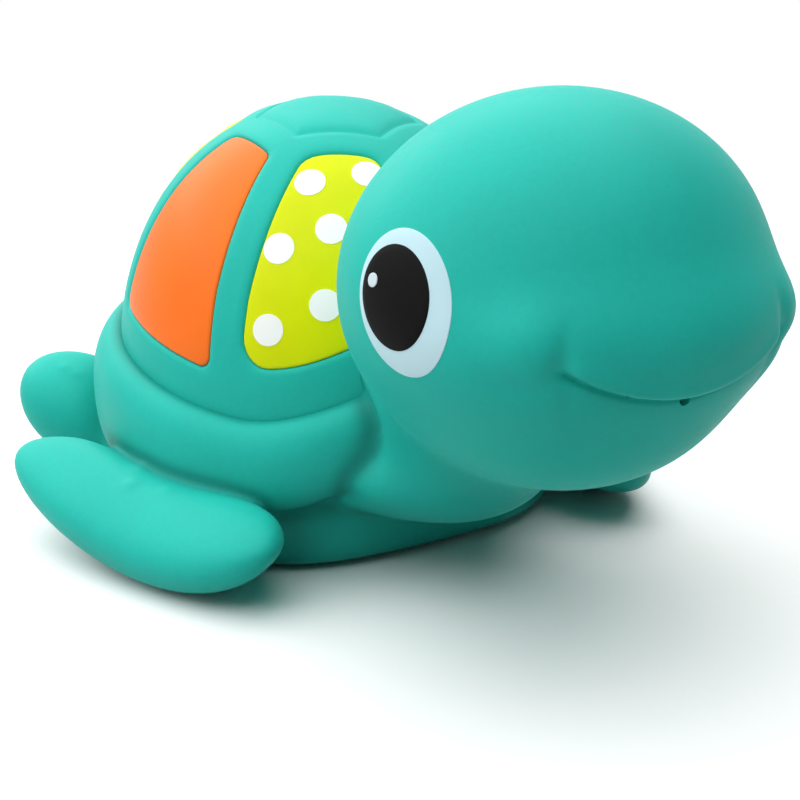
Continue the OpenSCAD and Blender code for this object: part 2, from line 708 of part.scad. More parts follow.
head_skin();
shell_dome();
shell_rim();
belly_skin();
front_flipper();  // front_flipper_right
mirror([1, 0, 0]) front_flipper();  // front_flipper_left
rear_flipper();  // rear_flipper_right
mirror([1, 0, 0]) rear_flipper();  // rear_flipper_left
color(lime) panel(0);  // panel_front_right
color(lime) panel(5);  // panel_front_left
color(orange) panel(1);  // panel_side_right
color(orange) panel(4);  // panel_side_left
color(lime) panel(2);  // panel_rear_right
color(lime) panel(3);  // panel_rear_left
color(paint_white) {  // panel_dots
    dots(0, false);
    dots(5, true);
    dots(2, true);
    dots(3, false);
}
eye_white();  // eye_white_right
mirror([1, 0, 0]) eye_white();  // eye_white_left
pupil();  // pupil_right
mirror([1, 0, 0]) pupil();  // pupil_left
eye_glint();  // eye_glint_right
mirror([1, 0, 0]) eye_glint();  // eye_glint_left
squeaker_barrel();
reed_seat();
reed_tongue();
reed_wedge();
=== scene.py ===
"""A soft vinyl turtle for the bath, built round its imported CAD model.

The fixed skin is one smooth surface that is found from the forms of the
toy and then divided along its creases. The shell, its panels, the paint
and the eyes lie on that surface. Sizes in the sums below are millimetres
in the CAD frame: +Z up, the turtle faces -Y and its right side is -X.
"""
import math

import bmesh
import bpy
import numpy as np
from bpy.props import FloatProperty, FloatVectorProperty, PointerProperty
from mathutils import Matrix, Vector


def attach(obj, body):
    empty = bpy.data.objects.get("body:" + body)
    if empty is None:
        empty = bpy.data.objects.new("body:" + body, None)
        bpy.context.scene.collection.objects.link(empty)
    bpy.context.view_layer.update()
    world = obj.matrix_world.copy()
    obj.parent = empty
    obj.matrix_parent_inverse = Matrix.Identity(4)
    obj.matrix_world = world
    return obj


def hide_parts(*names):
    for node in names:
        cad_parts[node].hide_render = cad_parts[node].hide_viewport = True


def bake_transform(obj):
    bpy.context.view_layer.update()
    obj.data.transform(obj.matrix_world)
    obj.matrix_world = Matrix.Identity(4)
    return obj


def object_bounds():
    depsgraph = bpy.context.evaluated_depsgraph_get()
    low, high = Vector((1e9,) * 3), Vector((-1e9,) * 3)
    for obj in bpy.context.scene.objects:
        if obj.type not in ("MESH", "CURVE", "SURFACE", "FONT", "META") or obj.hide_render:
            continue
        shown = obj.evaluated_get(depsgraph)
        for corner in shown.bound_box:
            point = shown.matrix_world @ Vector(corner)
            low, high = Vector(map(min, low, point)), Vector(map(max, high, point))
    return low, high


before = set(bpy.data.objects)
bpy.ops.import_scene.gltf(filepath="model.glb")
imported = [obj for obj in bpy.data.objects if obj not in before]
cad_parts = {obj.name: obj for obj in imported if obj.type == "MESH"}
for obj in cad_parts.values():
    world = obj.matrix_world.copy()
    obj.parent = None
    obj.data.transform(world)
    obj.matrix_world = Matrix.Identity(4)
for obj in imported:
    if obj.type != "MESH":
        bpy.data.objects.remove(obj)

bl_info = {
    "name": "Bath turtle",
    "version": (1, 0, 0),
    "blender": (4, 5, 0),
    "location": "View3D > Sidebar > Bath turtle",
    "description": "Builds a soft vinyl bath turtle round its CAD model",
    "category": "Object",
}

cad_box = [list(corner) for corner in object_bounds()]

MM = 0.001
TINY = 1e-6
FIXED = "turtle"

# Shell
SHELL_BACK = 25.85
SHELL_W, SHELL_L = 73.5, 79.1
SHELL_RISE, SHELL_BASE = 46.6, 24.9
SHELL_HALF = np.array([SHELL_W, SHELL_L]) / 2
SHELL_MID = np.array([0.0, SHELL_BACK, SHELL_BASE])
SHELL_FRONT = SHELL_BACK - SHELL_L / 2
DOME_POWER = 2.12

# Head and neck
HEAD_HALF = np.array([32.6, 28.9, 27.2])
HEAD_TUCK = 3.5
HEAD_MID = np.array([0.0, SHELL_FRONT - HEAD_HALF[1] + HEAD_TUCK, 52.8])
HEAD_PARTS = (  # place and half size, as shares of half the skull
    ((0, -0.005, 0.047), (1, 0.982, 1.007)),
    ((0, -0.299, -0.087), (0.911, 0.8016, 0.569)),
    ((0, -0.083, -0.338), (0.767, 0.837, 0.687)))
HEAD_BLEND = 16
HEAD_LEAST, HEAD_MOST = 15.0, 46.0
DEGREE = 0.52  # millimetres that a degree about the head's middle spans on the muzzle
NECK_MID, NECK_HALF = np.array([0.0, SHELL_FRONT + 1.5, 29.5]), np.array([16.0, 23.0, 17.5])
CHEST_MID, CHEST_HALF = np.array([0.0, SHELL_FRONT + 8.5, 18.0]), np.array([21.0, 22.0, 9.5])
CHEST_SOFT = 6

# Mouth: its line in degrees, where it ends, the lip's edge and the jaw below it
MOUTH_LOW, MOUTH_CURVE, MOUTH_EASE, MOUTH_SPAN, MOUTH_LAST = -15.5, 11.3, 1.2, 35, 40
MOUTH_END, MOUTH_FADE, MOUTH_NEAR, MOUTH_BAND = 37.8, 5.5, 44, 2.8
LIP_EDGE, JAW_FALL = 0.30, 4.5
LIP_ROLLS = ((0.22, 1.0, 1.1), (-0.35, -0.55, 0.5))  # share of the lip, place and reach
# Mouth corners, cheeks, folds and hollows under the cheeks: what sizes each, its share,
# its turn and height in degrees, its slope, and its reach across and up in millimetres
FACE_SPOTS = (("lip", -0.6, 36.0, -5.6, 0, 1.6, 1.6), ("cheek", 1, 43.5, 1.0, 0, 4.6 / 1.05, 4.6),
              ("cheek", -0.7, 34.8, -2.2, 0, 1.4, 3.2), ("cheek", -0.45, 44, -9.0, 0.25, 4.2, 1.6))
SQUIRT_D, SQUIRT_DOWN, SQUIRT_DEEP = 1.8, 17.3, 1.9

# Rim and belly
SLIDE_GAP = 0.4
RIM_BULGE, RIM_LAND, RIM_POWER, RIM_GROW = 4.6, 1.8, 2.15, 0.3
LAND_SPAN, RIM_BACK, RIM_BACK_MOST = 1.2, 3.4, 0.66
RIM_TOP = dict(low=26.1, at=52, front=8.4, rear=9.5, front_power=1, rear_power=0.65)
RIM_UNDER = dict(low=11.6, at=60, front=15.4, rear=3.4, front_power=2, rear_power=1)
BELLY_HALF, BELLY_MID, BELLY_SINK = (36.0, 33.5), 9.0, 0.5
BELLY_POWER, BELLY_SIDE_POWER = 3, 6
BELLY_FADE, BELLY_UP = 2, 3

# Flippers: root, bend and tip, half width, half thickness, bank, taper
FRONT_FIN = dict(
    shares=((0.969, -1.069, 0.803), (1.012, -0.538, 0.31), (1.456, 0.361, 1)),
    rise=14.2, half=(10.95, 6.45), bank=25.6, taper=1.05)
REAR_FIN = dict(
    shares=((0.552, 0.591, 0.276), (0.895, 0.932, 0.563), (1.148, 1.018, 1)),
    rise=19.9, half=(10.15, 7.7), bank=31, taper=1.01)
FIN_POWER, FIN_NEAR, FIN_FAR, SPINE_POINTS = 2.3, 22, 10.0, 49
# Low round spots on the flippers: place, size and height
FRONT_SPOTS = ((-41.5, 16.5, 16.6, 1.6, 0.4), (-45.0, 13.0, 14.9, 1.5, 0.35),
               (-41.5, 6.9, 15.2, 1.4, 0.3))
REAR_SPOTS = ((-36.9, 60.2, 21.0, 1.3, 0.3), (-35.7, 58.4, 20.1, 1.2, 0.25))

# Creases: depth and reach beside the chest, reach beside the rim, width of the floor's edge
CHEST_CREASE, RIM_CREASE_REACH, FLOOR_SOFT = (0.3, 2), 3, 0.8
# Painted shade in the creases: how far from the next form the vinyl's colour darkens, and the share
# of its colour left where it is darkest
PAINTED_SHADE_REACH, PAINTED_CREASE_SHADE = 1.4, 0.56

# Panels and crown pad
PAD_AHEAD, PAD_D, PAD_BAND = 3.2, 28.4, 4.4
PAD_MID = np.array([0.0, SHELL_BACK - PAD_AHEAD])
RIBS = (0, 61, 118.5, 180, 241.5, 299, 360)
RIB_W = 6.1
RIB_LEAN, LEAN_MID, LEAN_REACH = 0.8, 0.667, 0.236
PANEL_FEET = (8.4, 5.9, 8.3, 8.3, 5.9, 8.4)
SLOPE_SHARE, ROUGH_SHARE = 1.8, 0.12
# radii of a panel's corners: top and foot, on the front and on the rear side
PANEL_CORNERS = {"front": (1.5, 2.0, 2.6, 4.6), "side": (1.0, 1.3, 2.0, 2.4),
                 "rear": (1.5, 1.5, 3.0, 3.0)}
PANEL_LOW, PANEL_HIGH = -0.96, -0.26
PANEL_NAMES = ("panel_front_right", "panel_side_right", "panel_rear_right",
               "panel_rear_left", "panel_side_left", "panel_front_left")
# an edge of paint, from its foot to the panel's face: distance out and height
PANEL_EDGE = ((-0.10, -0.86), (-0.12, -0.62), (-0.18, -0.46), (-0.30, -0.35), (-0.50, -0.29),
              (-0.9, -0.26))
PANEL_BACK, PANEL_SHARES = -0.3, (0.85, 0.7, 0.55, 0.4, 0.25, 0.1)
DOTTED = {0: False, 5: True, 2: True, 3: False}  # panels, and whether their dots are mirrored
DOT_SHARES = ((0.205, 0.1), (0.79, 0.12), (0.175, 0.4), (0.55, 0.35),
              (0.88, 0.41), (0.56, 0.72), (0.86, 0.8))
DOT_GRID, DOT_SIDES, DOT_RINGS = 40, 40, 5

# Shell's relief: distance out from a panel's edge and height, from the recess to the rib,
# and share of the pad's size and height, from the ribs to its middle
FOOT_DROP, SKIRT_FOOT, RECESS = 2.0, 21.9, -1.0
RIB_RELIEF = ((-0.35, RECESS), (-0.18, -0.97), (-0.10, -0.82), (-0.03, -0.58), (0.08, -0.40),
              (0.25, -0.26), (0.50, -0.15), (0.85, -0.07), (1.25, -0.02))
PAD_RELIEF = ((1.0, 0.0), (0.985, -0.14), (0.965, -0.30), (0.945, -0.30), (0.92, -0.12),
              (0.88, 0.08), (0.8, 0.24), (0.65, 0.34), (0.45, 0.40), (0.2, 0.40))
RIB_SHARES, RECESS_SHARES = (1.0, 0.72, 0.46, 0.22), (0.8, 0.6, 0.4, 0.2)

# Eyes: turn from straight ahead and height, in degrees about the head's middle
EYE_WHITE = dict(turn=76.1, up=6.9, size=(16.7, 20.9))
PUPIL = dict(turn=78.38, up=7.79, size=(12.4, 14.5))
GLINT = dict(turn=85.62, up=10.47, size=(1.95, 1.95))
EYE_LEAN, EYE_FOOT = 20, -0.25

# Squeaker: the socket's section is the radius and height of its corners
FLANGE_D, FLANGE_GAP = 17.0, 0.1
SOCKET = ((8.6, 0.03), (8.6, 1.5), (6.1, 1.5), (6.1, 9.0), (7.9, 9.0), (7.9, 2.2), (9.4, 1.9),
          (9.4, 0.03))

# Meshes: depth of skin under the shell that is kept, height of the base's edge, points of
# a round loop, and points along a panel's side, plain and quick
HIDDEN, BASE_BAND, ROUND = -5, 0.5, 96
SIDE_POINTS, QUICK_SIDE_POINTS, QUICK_STEP = 28, 16, 1.5
MOVE_SHARE, LEAST_SLOPE, MOUTH_CUTS, SHARP = 0.6, 0.05, 3, 38


def smooth_step(t):
    t = np.clip(t, 0, 1)
    return t * t * (3 - 2 * t)


def smooth_min(a, b, soft):
    """The smaller of two distances, rounded where they are nearly equal."""
    h = np.clip(soft - np.abs(a - b), 0, None) / soft
    return np.minimum(a, b) - h * h * soft / 4


def bump(distance, reach):
    return np.exp(-(distance / reach) ** 2)


def unit(v):
    return v / np.maximum(np.linalg.norm(v, axis=-1, keepdims=True), TINY ** 2)


def far_side(rays, mid, half):
    a, b = rays / half, np.asarray(mid) / half
    aa, ab = (a * a).sum(-1), a @ b
    q = ab * ab - aa * ((b * b).sum() - 1)
    return np.where(q <= 0, 0, np.maximum(0, (ab + np.sqrt(np.maximum(q, 0))) / aa))


def way(turn, up):
    """Unit vector turned from straight ahead to the right side, in degrees."""
    t, u = math.radians(turn), math.radians(up)
    return np.array([-math.sin(t) * math.cos(u), -math.cos(t) * math.cos(u), math.sin(u)])


# The head

def mouth_line(turn):
    """Height of the mouth's line, in degrees, at a turn from straight ahead."""
    share = np.minimum(turn, MOUTH_LAST) / MOUTH_SPAN
    return MOUTH_LOW + MOUTH_CURVE * share ** 2 - MOUTH_EASE * share ** 8


def face_angles(rays):
    """Turn from straight ahead, to either side, and height, in degrees."""
    return (np.abs(np.degrees(np.arctan2(-rays[..., 0], -rays[..., 1]))),
            np.degrees(np.arcsin(np.clip(rays[..., 2], -1, 1))))


def near_mouth(p):
    """Whether a point of the head is close to the mouth's line or the squirt hole."""
    turn, up = face_angles(unit(p - HEAD_MID))
    return turn < MOUTH_NEAR and abs(up - mouth_line(turn)) * DEGREE < MOUTH_BAND


def face_relief(rays, size):
    """Height of cheeks, lip and mouth above the plain head, in millimetres."""
    turn, up = face_angles(rays)
    above = (up - mouth_line(turn)) * DEGREE
    jaw = (0.5 + 0.5 * np.tanh(-above / LIP_EDGE)) * np.exp(-np.maximum(-above, 0) / JAW_FALL)
    rolls = sum(share * bump(above - at, reach) for share, at, reach in LIP_ROLLS)
    height = size["lip"] * smooth_step((MOUTH_END - turn) / MOUTH_FADE) * (rolls - jaw)
    for name, share, at_turn, at_up, slope, across, tall in FACE_SPOTS:
        beside = turn - at_turn
        over = up - at_up - slope * beside
        height += share * size[name] * bump(beside * DEGREE, across) * bump(over * DEGREE, tall)
    return height


def head_field(p, size):
    d = p - HEAD_MID
    r = np.linalg.norm(d, axis=-1)
    rays = d / np.maximum(r, TINY)[..., None]
    reach = np.stack([far_side(rays, np.array(place) * HEAD_HALF, np.array(half) * HEAD_HALF)
                      for place, half in HEAD_PARTS])
    top = reach.max(0)
    radius = top * ((reach / top) ** HEAD_BLEND).sum(0) ** (1 / HEAD_BLEND)
    return r - radius - face_relief(rays, size)


def head_surface(rays, size):
    """Points of the skin along rays from the middle of the head."""
    near, far = np.full(len(rays), HEAD_LEAST), np.full(len(rays), HEAD_MOST)
    for _ in range(26):
        mid = (near + far) / 2
        inside = head_field(HEAD_MID + rays * mid[:, None], size) < 0
        near, far = np.where(inside, mid, near), np.where(inside, far, mid)
    return HEAD_MID + rays * near[:, None]


# Forms of the fixed skin, as distances to their surfaces

def oval_field(p, mid, half):
    d = (p - mid) / half
    k = np.linalg.norm(d, axis=-1)
    return k * (k - 1) / np.maximum(np.linalg.norm(d / half, axis=-1), TINY)


def wave(turn, low, at, front, rear, front_power, rear_power):
    a = np.abs((turn + 540) % 360 - 180)
    ahead = low + front * np.clip(0.5 + 0.5 * np.cos(np.pi * a / at), 0, 1) ** front_power
    behind = low + rear * np.clip(
        0.5 - 0.5 * np.cos(np.pi * (a - at) / (180 - at)), 0, 1) ** rear_power
    return np.where(a < at, ahead, behind)


def oval_radius(turn, half_w, half_l, power=2):
    s, c = np.abs(np.sin(np.radians(turn))), np.abs(np.cos(np.radians(turn)))
    return ((s / half_w) ** power + (c / half_l) ** power) ** (-1 / power)


def dome_share(z):
    k = np.clip((z - SHELL_BASE) / SHELL_RISE, 0, 1) ** DOME_POWER
    return (1 - k) ** (1 / DOME_POWER)


def plan(p):
    """Turn about the shell's middle and distance from it, in plan."""
    x, y = p[..., 0], p[..., 1] - SHELL_BACK
    return np.degrees(np.arctan2(-x, -y)), np.hypot(x, y)


def rim_field(p, turn, out):
    low, high = wave(turn, **RIM_UNDER), wave(turn, **RIM_TOP)
    half = (high - low) / 2
    v = (p[..., 2] - low - half) / half
    land = RIM_LAND * smooth_step(0.5 - v / LAND_SPAN)
    tallest = wave(180.0, **RIM_TOP) - wave(180.0, **RIM_UNDER)
    bulge = RIM_BULGE * (2 * half / tallest) ** RIM_GROW - land
    drawn = oval_radius(turn, *SHELL_HALF) * (1 - dome_share(p[..., 2]))
    u = out - (oval_radius(turn, *(SHELL_HALF + SLIDE_GAP)) + land - drawn)
    u = np.where(u > 0, u / bulge, np.minimum(-u / RIM_BACK, RIM_BACK_MOST))
    k = (np.abs(u) ** RIM_POWER + np.abs(v) ** RIM_POWER) ** (1 / RIM_POWER)
    steep = np.hypot(np.abs(u) / bulge, np.abs(v) / half) / np.maximum(np.hypot(u, v), TINY)
    return (k - 1) / np.maximum(steep, 1 / half)


def belly_field(p, turn, out):
    z = p[..., 2]
    sunk = np.clip((BELLY_MID - z) / (BELLY_MID + BELLY_SINK), 0, 1)
    fall = np.clip(1 - sunk ** BELLY_SIDE_POWER, 0, 1) ** (1 / BELLY_SIDE_POWER)
    tub = oval_radius(turn, *BELLY_HALF, BELLY_POWER) * fall
    low = wave(turn, **RIM_UNDER)
    edge = oval_radius(turn, *(SHELL_HALF + SLIDE_GAP)) + RIM_LAND
    share = smooth_step((z - BELLY_MID) / np.maximum(low + BELLY_FADE - BELLY_MID, 1))
    return np.maximum(out - (tub + (edge - tub) * share), z - low - BELLY_UP)


def bend(ends, t):
    """Points of a curve with one bend, and its direction there times its speed."""
    t = t[:, None]
    middle = ends[0] * (1 - t) ** 2 + ends[1] * 2 * t * (1 - t) + ends[2] * t ** 2
    return middle, 2 * ((ends[1] - ends[0]) * (1 - t) + (ends[2] - ends[1]) * t)


def fin_value(at, fin, ends):
    """Less than nought inside a flipper, and nought on its surface."""
    t = np.linspace(0, 1, SPINE_POINTS)
    t = t[np.argmin(np.stack([((at - spot) ** 2).sum(1) for spot in bend(ends, t)[0]]), axis=0)]
    for _ in range(3):
        middle, along = bend(ends, t)
        t = np.clip(t + ((at - middle) * along).sum(1) / (along ** 2).sum(1), 0, 1)
    middle, along = bend(ends, t)
    speed = np.linalg.norm(along, axis=1)
    along = unit(along)
    across = unit(np.cross(along, [0, 0, 1.0]))
    rise = np.cross(across, along)
    bank = math.radians(fin["bank"])
    wide = across * math.cos(bank) + rise * math.sin(bank)
    thick = rise * math.cos(bank) - across * math.sin(bank)
    d = at - middle
    past = (d * along).sum(1) / speed
    u, v = (d * wide).sum(1) / fin["half"][0], (d * thick).sum(1) / fin["half"][1]
    w = np.where(t + past <= 0, -1 + 2 * past,
                 2 * np.clip(t + past, TINY, None) ** fin["taper"] - 1)
    section = (np.abs(u) ** FIN_POWER + np.abs(v) ** FIN_POWER) ** (1 / FIN_POWER)
    return np.hypot(section, w) - 1


def fin_field(p, fin, side, spots):
    """A flipper on one side of the toy, with the low round spots on it."""
    q = p * np.array([side, 1, 1])
    ends = np.array([[-x * SHELL_HALF[0], SHELL_BACK + y * SHELL_HALF[1], z * fin["rise"]]
                     for x, y, z in fin["shares"]])
    near = np.all((q > ends.min(0) - FIN_NEAR) & (q < ends.max(0) + FIN_NEAR), axis=-1)
    found = np.full(len(p), FIN_FAR)
    if not near.any():
        return found
    q, eps = q[near], 0.05
    here = fin_value(q, fin, ends)
    slope = np.stack([fin_value(q + eps * a, fin, ends) - here for a in np.eye(3)], 1) / eps
    distance = here / np.maximum(np.linalg.norm(slope, axis=1), 0.02)
    for x, y, z, reach, height in spots:
        distance -= height * bump(np.linalg.norm(q - np.array([x, y, z]), axis=1), reach)
    found[near] = distance
    return found


def dome_scale(p):
    """How many times the shell's size reaches points: in plan, and in all."""
    flat = np.linalg.norm((p[..., :2] - SHELL_MID[:2]) / SHELL_HALF, axis=-1)
    up = np.maximum(p[..., 2] - SHELL_BASE, 0) / SHELL_RISE
    return flat, (flat ** DOME_POWER + up ** DOME_POWER) ** (1 / DOME_POWER)


def dome_field(p):
    return (dome_scale(p)[1] - 1) * SHELL_HALF[0]


def skin_parts(p, size):
    """Distances to each form of the fixed skin."""
    turn, out = plan(p)
    chest = smooth_min(oval_field(p, NECK_MID, NECK_HALF), oval_field(p, CHEST_MID, CHEST_HALF),
                       CHEST_SOFT)
    parts = {"head_skin": smooth_min(head_field(p, size), chest, size["neck_soft"]),
             "shell_rim": rim_field(p, turn, out),
             "belly_skin": belly_field(p, turn, out)}
    for side, word in ((1, "right"), (-1, "left")):
        parts["front_flipper_" + word] = fin_field(p, FRONT_FIN, side, FRONT_SPOTS)
        parts["rear_flipper_" + word] = fin_field(p, REAR_FIN, side, REAR_SPOTS)
    return parts


def creased(under, over, soft, depth, reach):
    """Joins two forms; the one under draws back beside the one over it."""
    return smooth_min(under + depth * bump(np.maximum(over, 0), reach), over, soft)


def skin_field(p, size):
    parts = skin_parts(p, size)
    trunk = creased(parts["belly_skin"], parts["head_skin"], size["belly_soft"], *CHEST_CREASE)
    for name, distance in parts.items():
        if "flipper" in name:
            trunk = smooth_min(trunk, distance, size["fin_soft"])
    trunk = creased(trunk, parts["shell_rim"], size["rim_soft"], size["crease"],
                    RIM_CREASE_REACH)
    return -smooth_min(-trunk, p[..., 2], FLOOR_SOFT)


def painted_crease_shade(p, size):
    """How far into a crease between two forms points lie, from 0 to 1: the share of painted shade
    that darkens the vinyl's colour there.
    """
    near = np.sort(np.stack([*skin_parts(p, size).values(), np.abs(dome_field(p))]), axis=0)
    return bump(np.maximum(near[1], 0), PAINTED_SHADE_REACH)


# Finding a surface

def slope_of(field, p, eps=0.04):
    return np.stack([field(p + eps * a) - field(p - eps * a) for a in np.eye(3)], 1) / (2 * eps)


def settle(field, p, step, rounds):
    """Moves points onto the surface where the field is nought."""
    for _ in range(rounds):
        g = slope_of(field, p)
        move = field(p)[:, None] * g / np.maximum((g * g).sum(1), LEAST_SLOPE)[:, None]
        far = np.linalg.norm(move, axis=1)
        p = p - move * np.minimum(1, MOVE_SHARE * step / np.maximum(far, TINY ** 2))[:, None]
    return p


def find_surface(field, low, high, step):
    """Points and four-sided faces of the surface where the field is nought."""
    wide = 4
    count = np.ceil((high - low) / (step * wide)).astype(int) * wide + 1
    axes = [low[i] + step * np.arange(count[i]) for i in range(3)]
    coarse = np.stack(np.meshgrid(*[a[::wide] for a in axes], indexing="ij"), -1)
    rough = field(coarse.reshape(-1, 3)).reshape(coarse.shape[:3])
    index = [np.minimum((np.arange(n) + wide // 2) // wide, rough.shape[i] - 1)
             for i, n in enumerate(count)]
    f = rough[np.ix_(*index)]
    near = np.argwhere(np.abs(f) < step * wide * 1.9)
    f[tuple(near.T)] = np.concatenate(
        [field(part) for part in np.array_split(low + near * step, 12)])

    inside = f < 0
    corners = [np.array(c) for c in np.ndindex(2, 2, 2)]
    cells = np.array(f.shape) - 1
    filled = sum(inside[tuple(slice(c[i], c[i] + cells[i]) for i in range(3))].astype(np.int8)
                 for c in corners)
    cell = np.argwhere((filled > 0) & (filled < 8))
    number = np.full(tuple(cells), -1)
    number[tuple(cell.T)] = np.arange(len(cell))
    total, hits = np.zeros((len(cell), 3)), np.zeros(len(cell))
    for a in corners:
        for axis in np.flatnonzero(a == 0):
            b = a.copy()
            b[axis] = 1
            fa, fb = f[tuple((cell + a).T)], f[tuple((cell + b).T)]
            crossed = (fa < 0) != (fb < 0)
            t = fa[crossed] / (fa[crossed] - fb[crossed])
            total[crossed] += a + t[:, None] * (b - a)
            hits[crossed] += 1
    p = low + (cell + total / hits[:, None]) * step
    faces = []
    for axis in range(3):
        u, v = (axis + 1) % 3, (axis + 2) % 3
        first, second = [slice(None)] * 3, [slice(None)] * 3
        first[axis], second[axis] = slice(None, -1), slice(1, None)
        edge = np.argwhere(inside[tuple(first)] != inside[tuple(second)])
        edge = edge[(edge[:, u] > 0) & (edge[:, v] > 0)
                    & (edge[:, u] < cells[u]) & (edge[:, v] < cells[v])]
        ring = []
        for du, dv in ((0, 0), (1, 0), (1, 1), (0, 1)):
            at = edge.copy()
            at[:, u] -= du
            at[:, v] -= dv
            ring.append(number[tuple(at.T)])
        quad = np.stack(ring, 1)
        outward = inside[tuple(edge.T)]
        quad[~outward] = quad[~outward][:, ::-1]
        faces.append(quad)
    return p, np.concatenate(faces)


def relax(field, p, faces, step):
    """Evens out the spacing of the points along the surface."""
    total, hits = np.zeros_like(p), np.zeros(len(p))
    for i in range(4):
        a, b = faces[:, i], faces[:, (i + 1) % 4]
        for x, y in ((a, b), (b, a)):
            np.add.at(total, x, p[y])
            np.add.at(hits, x, 1)
    g = unit(slope_of(field, p))
    move = total / np.maximum(hits, 1)[:, None] - p
    move -= (move * g).sum(1)[:, None] * g
    return settle(field, p + MOVE_SHARE * move, step, 1)


def border_of(faces):
    """Directed edges that only one face uses."""
    a = np.concatenate([faces[:, [i, (i + 1) % 4]] for i in range(4)])
    key = np.sort(a, axis=1)
    key = key[:, 0].astype(np.int64) * (a.max() + 1) + key[:, 1]
    _, at, count = np.unique(key, return_index=True, return_counts=True)
    return a[at[count == 1]]


def close_wall(points, normals, faces, thickness):
    """Gives an open patch its wall: an inner skin and a band round its border."""
    used, faces = np.unique(faces, return_inverse=True)
    faces = faces.reshape(-1, 4)
    outer = points[used]
    n = len(outer)
    border = border_of(faces)
    band = np.stack([border[:, 1], border[:, 0], border[:, 0] + n, border[:, 1] + n], 1)
    return (np.concatenate([outer, outer - normals[used] * thickness]),
            np.concatenate([faces, faces[:, ::-1] + n, band]),
            np.concatenate([border, border + n]))


# Meshes

def read_values(items, key, width, kind=np.float32):
    values = np.zeros((len(items), width), kind)
    items.foreach_get(key, values.reshape(-1))
    return values


def link_object(name, mesh):
    piece = bpy.data.objects.new(name, mesh)
    bpy.context.scene.collection.objects.link(piece)
    return piece


def make_piece(name, points, faces, material, sharp=()):
    """A smooth-shaded piece from points in millimetres; sharp holds vertex pairs."""
    mesh = bpy.data.meshes.new(name)
    mesh.from_pydata(np.asarray(points) * MM, [], [tuple(int(i) for i in f) for f in faces])
    mesh.validate()
    mesh.shade_smooth()
    if len(sharp):
        wanted = {tuple(sorted(int(i) for i in pair)) for pair in sharp}
        flags = [tuple(sorted(e.vertices)) in wanted for e in mesh.edges]
        attribute = mesh.attributes.new("sharp_edge", "BOOLEAN", "EDGE")
        attribute.data.foreach_set("value", flags)
    mesh.materials.append(material)
    return link_object(name, mesh)


def clean_mesh(mesh, merge=0.0, sharp_over=360):
    """Merges doubles, turns faces outwards and marks edges sharper than an angle."""
    work = bmesh.new()
    work.from_mesh(mesh)
    if merge:
        bmesh.ops.remove_doubles(work, verts=work.verts, dist=merge)
    bmesh.ops.recalc_face_normals(work, faces=work.faces)
    for face in work.faces:
        face.smooth = True
    for edge in work.edges:
        edge.smooth = edge.calc_face_angle(0) < math.radians(sharp_over)
    work.to_mesh(mesh)
    work.free()


def harden(context, piece):
    """Turns what the modifiers make into the piece's own plain mesh."""
    graph = context.evaluated_depsgraph_get()
    made = bpy.data.meshes.new_from_object(piece.evaluated_get(graph), depsgraph=graph)
    old, name = piece.data, piece.data.name
    piece.modifiers.clear()
    piece.data = made
    bpy.data.meshes.remove(old)
    made.name = name


def refine_mouth(piece, field, cuts, place, ray):
    """Divides the head's outer faces finely round the mouth and opens the squirt hole."""
    work = bmesh.new()
    work.from_mesh(piece.data)
    outer = work.faces.layers.int["outer"]

    def middle(face):
        return np.array(face.calc_center_median()) / MM

    near = {face for face in work.faces if face[outer] and near_mouth(middle(face))}
    edges = [edge for edge in work.edges if near.intersection(edge.link_faces)
             and all(face[outer] for face in edge.link_faces)]
    old = set(work.verts)
    bmesh.ops.subdivide_edges(work, edges=edges, cuts=cuts, use_grid_fill=True)
    new = [v for v in work.verts if v not in old]
    for v, p in zip(new, settle(field, np.array([v.co for v in new]) / MM, 0.5, 4)):
        v.co = Vector(p) * MM

    gone = []
    for face in work.faces:
        d = middle(face) - place
        off = np.linalg.norm(d - ray * (d @ ray))
        if face[outer] and off < SQUIRT_D / 2 and abs(d @ ray) < 3:
            gone.append(face)
    bmesh.ops.delete(work, geom=gone, context="FACES")
    ring = [edge for edge in work.edges if len(edge.link_faces) == 1
            and edge.link_faces[0][outer]]
    for v in {v for edge in ring for v in edge.verts}:
        d = np.array(v.co) / MM - place
        along = ray * (d @ ray)
        v.co = Vector(place + along + unit(d - along) * SQUIRT_D / 2) * MM
    for part in bmesh.ops.extrude_edge_only(work, edges=ring)["geom"]:
        if isinstance(part, bmesh.types.BMVert):
            part.co -= Vector(ray * SQUIRT_DEEP) * MM
        elif isinstance(part, bmesh.types.BMFace):
            part[outer] = 0
    for edge in ring:
        edge.smooth = False
    work.to_mesh(piece.data)
    work.free()


def shade_by_slope(piece, field):
    """Gives the outer faces' corners the field's own slope as normals."""
    mesh = piece.data
    vertex = read_values(mesh.loops, "vertex_index", 1, np.int32)[:, 0]
    total = read_values(mesh.polygons, "loop_total", 1, np.int32)[:, 0]
    outer = read_values(mesh.attributes["outer"].data, "value", 1, np.int32)[:, 0]
    normals = read_values(mesh.corner_normals, "vector", 3)
    places = read_values(mesh.vertices, "co", 3) / MM
    mine = np.repeat(outer, total) == 1
    used = np.unique(vertex[mine])
    slope = np.zeros((len(places), 3))
    slope[used] = unit(slope_of(field, places[used]))
    normals[mine] = slope[vertex[mine]]
    mesh.normals_split_custom_set([tuple(map(float, n)) for n in normals])
    mesh.attributes.remove(mesh.attributes["outer"])


def strip_faces(size, rows, base=0, closed=False):
    """Faces between loops of equal length that follow one another."""
    return [(base + i * size + j, base + i * size + (j + 1) % size,
             base + (i + 1) % rows * size + (j + 1) % size, base + (i + 1) % rows * size + j)
            for i in range(rows if closed else rows - 1) for j in range(size)]


def cap_faces(tip, size, first):
    return [(tip, first + j, first + (j + 1) % size) for j in range(size)]


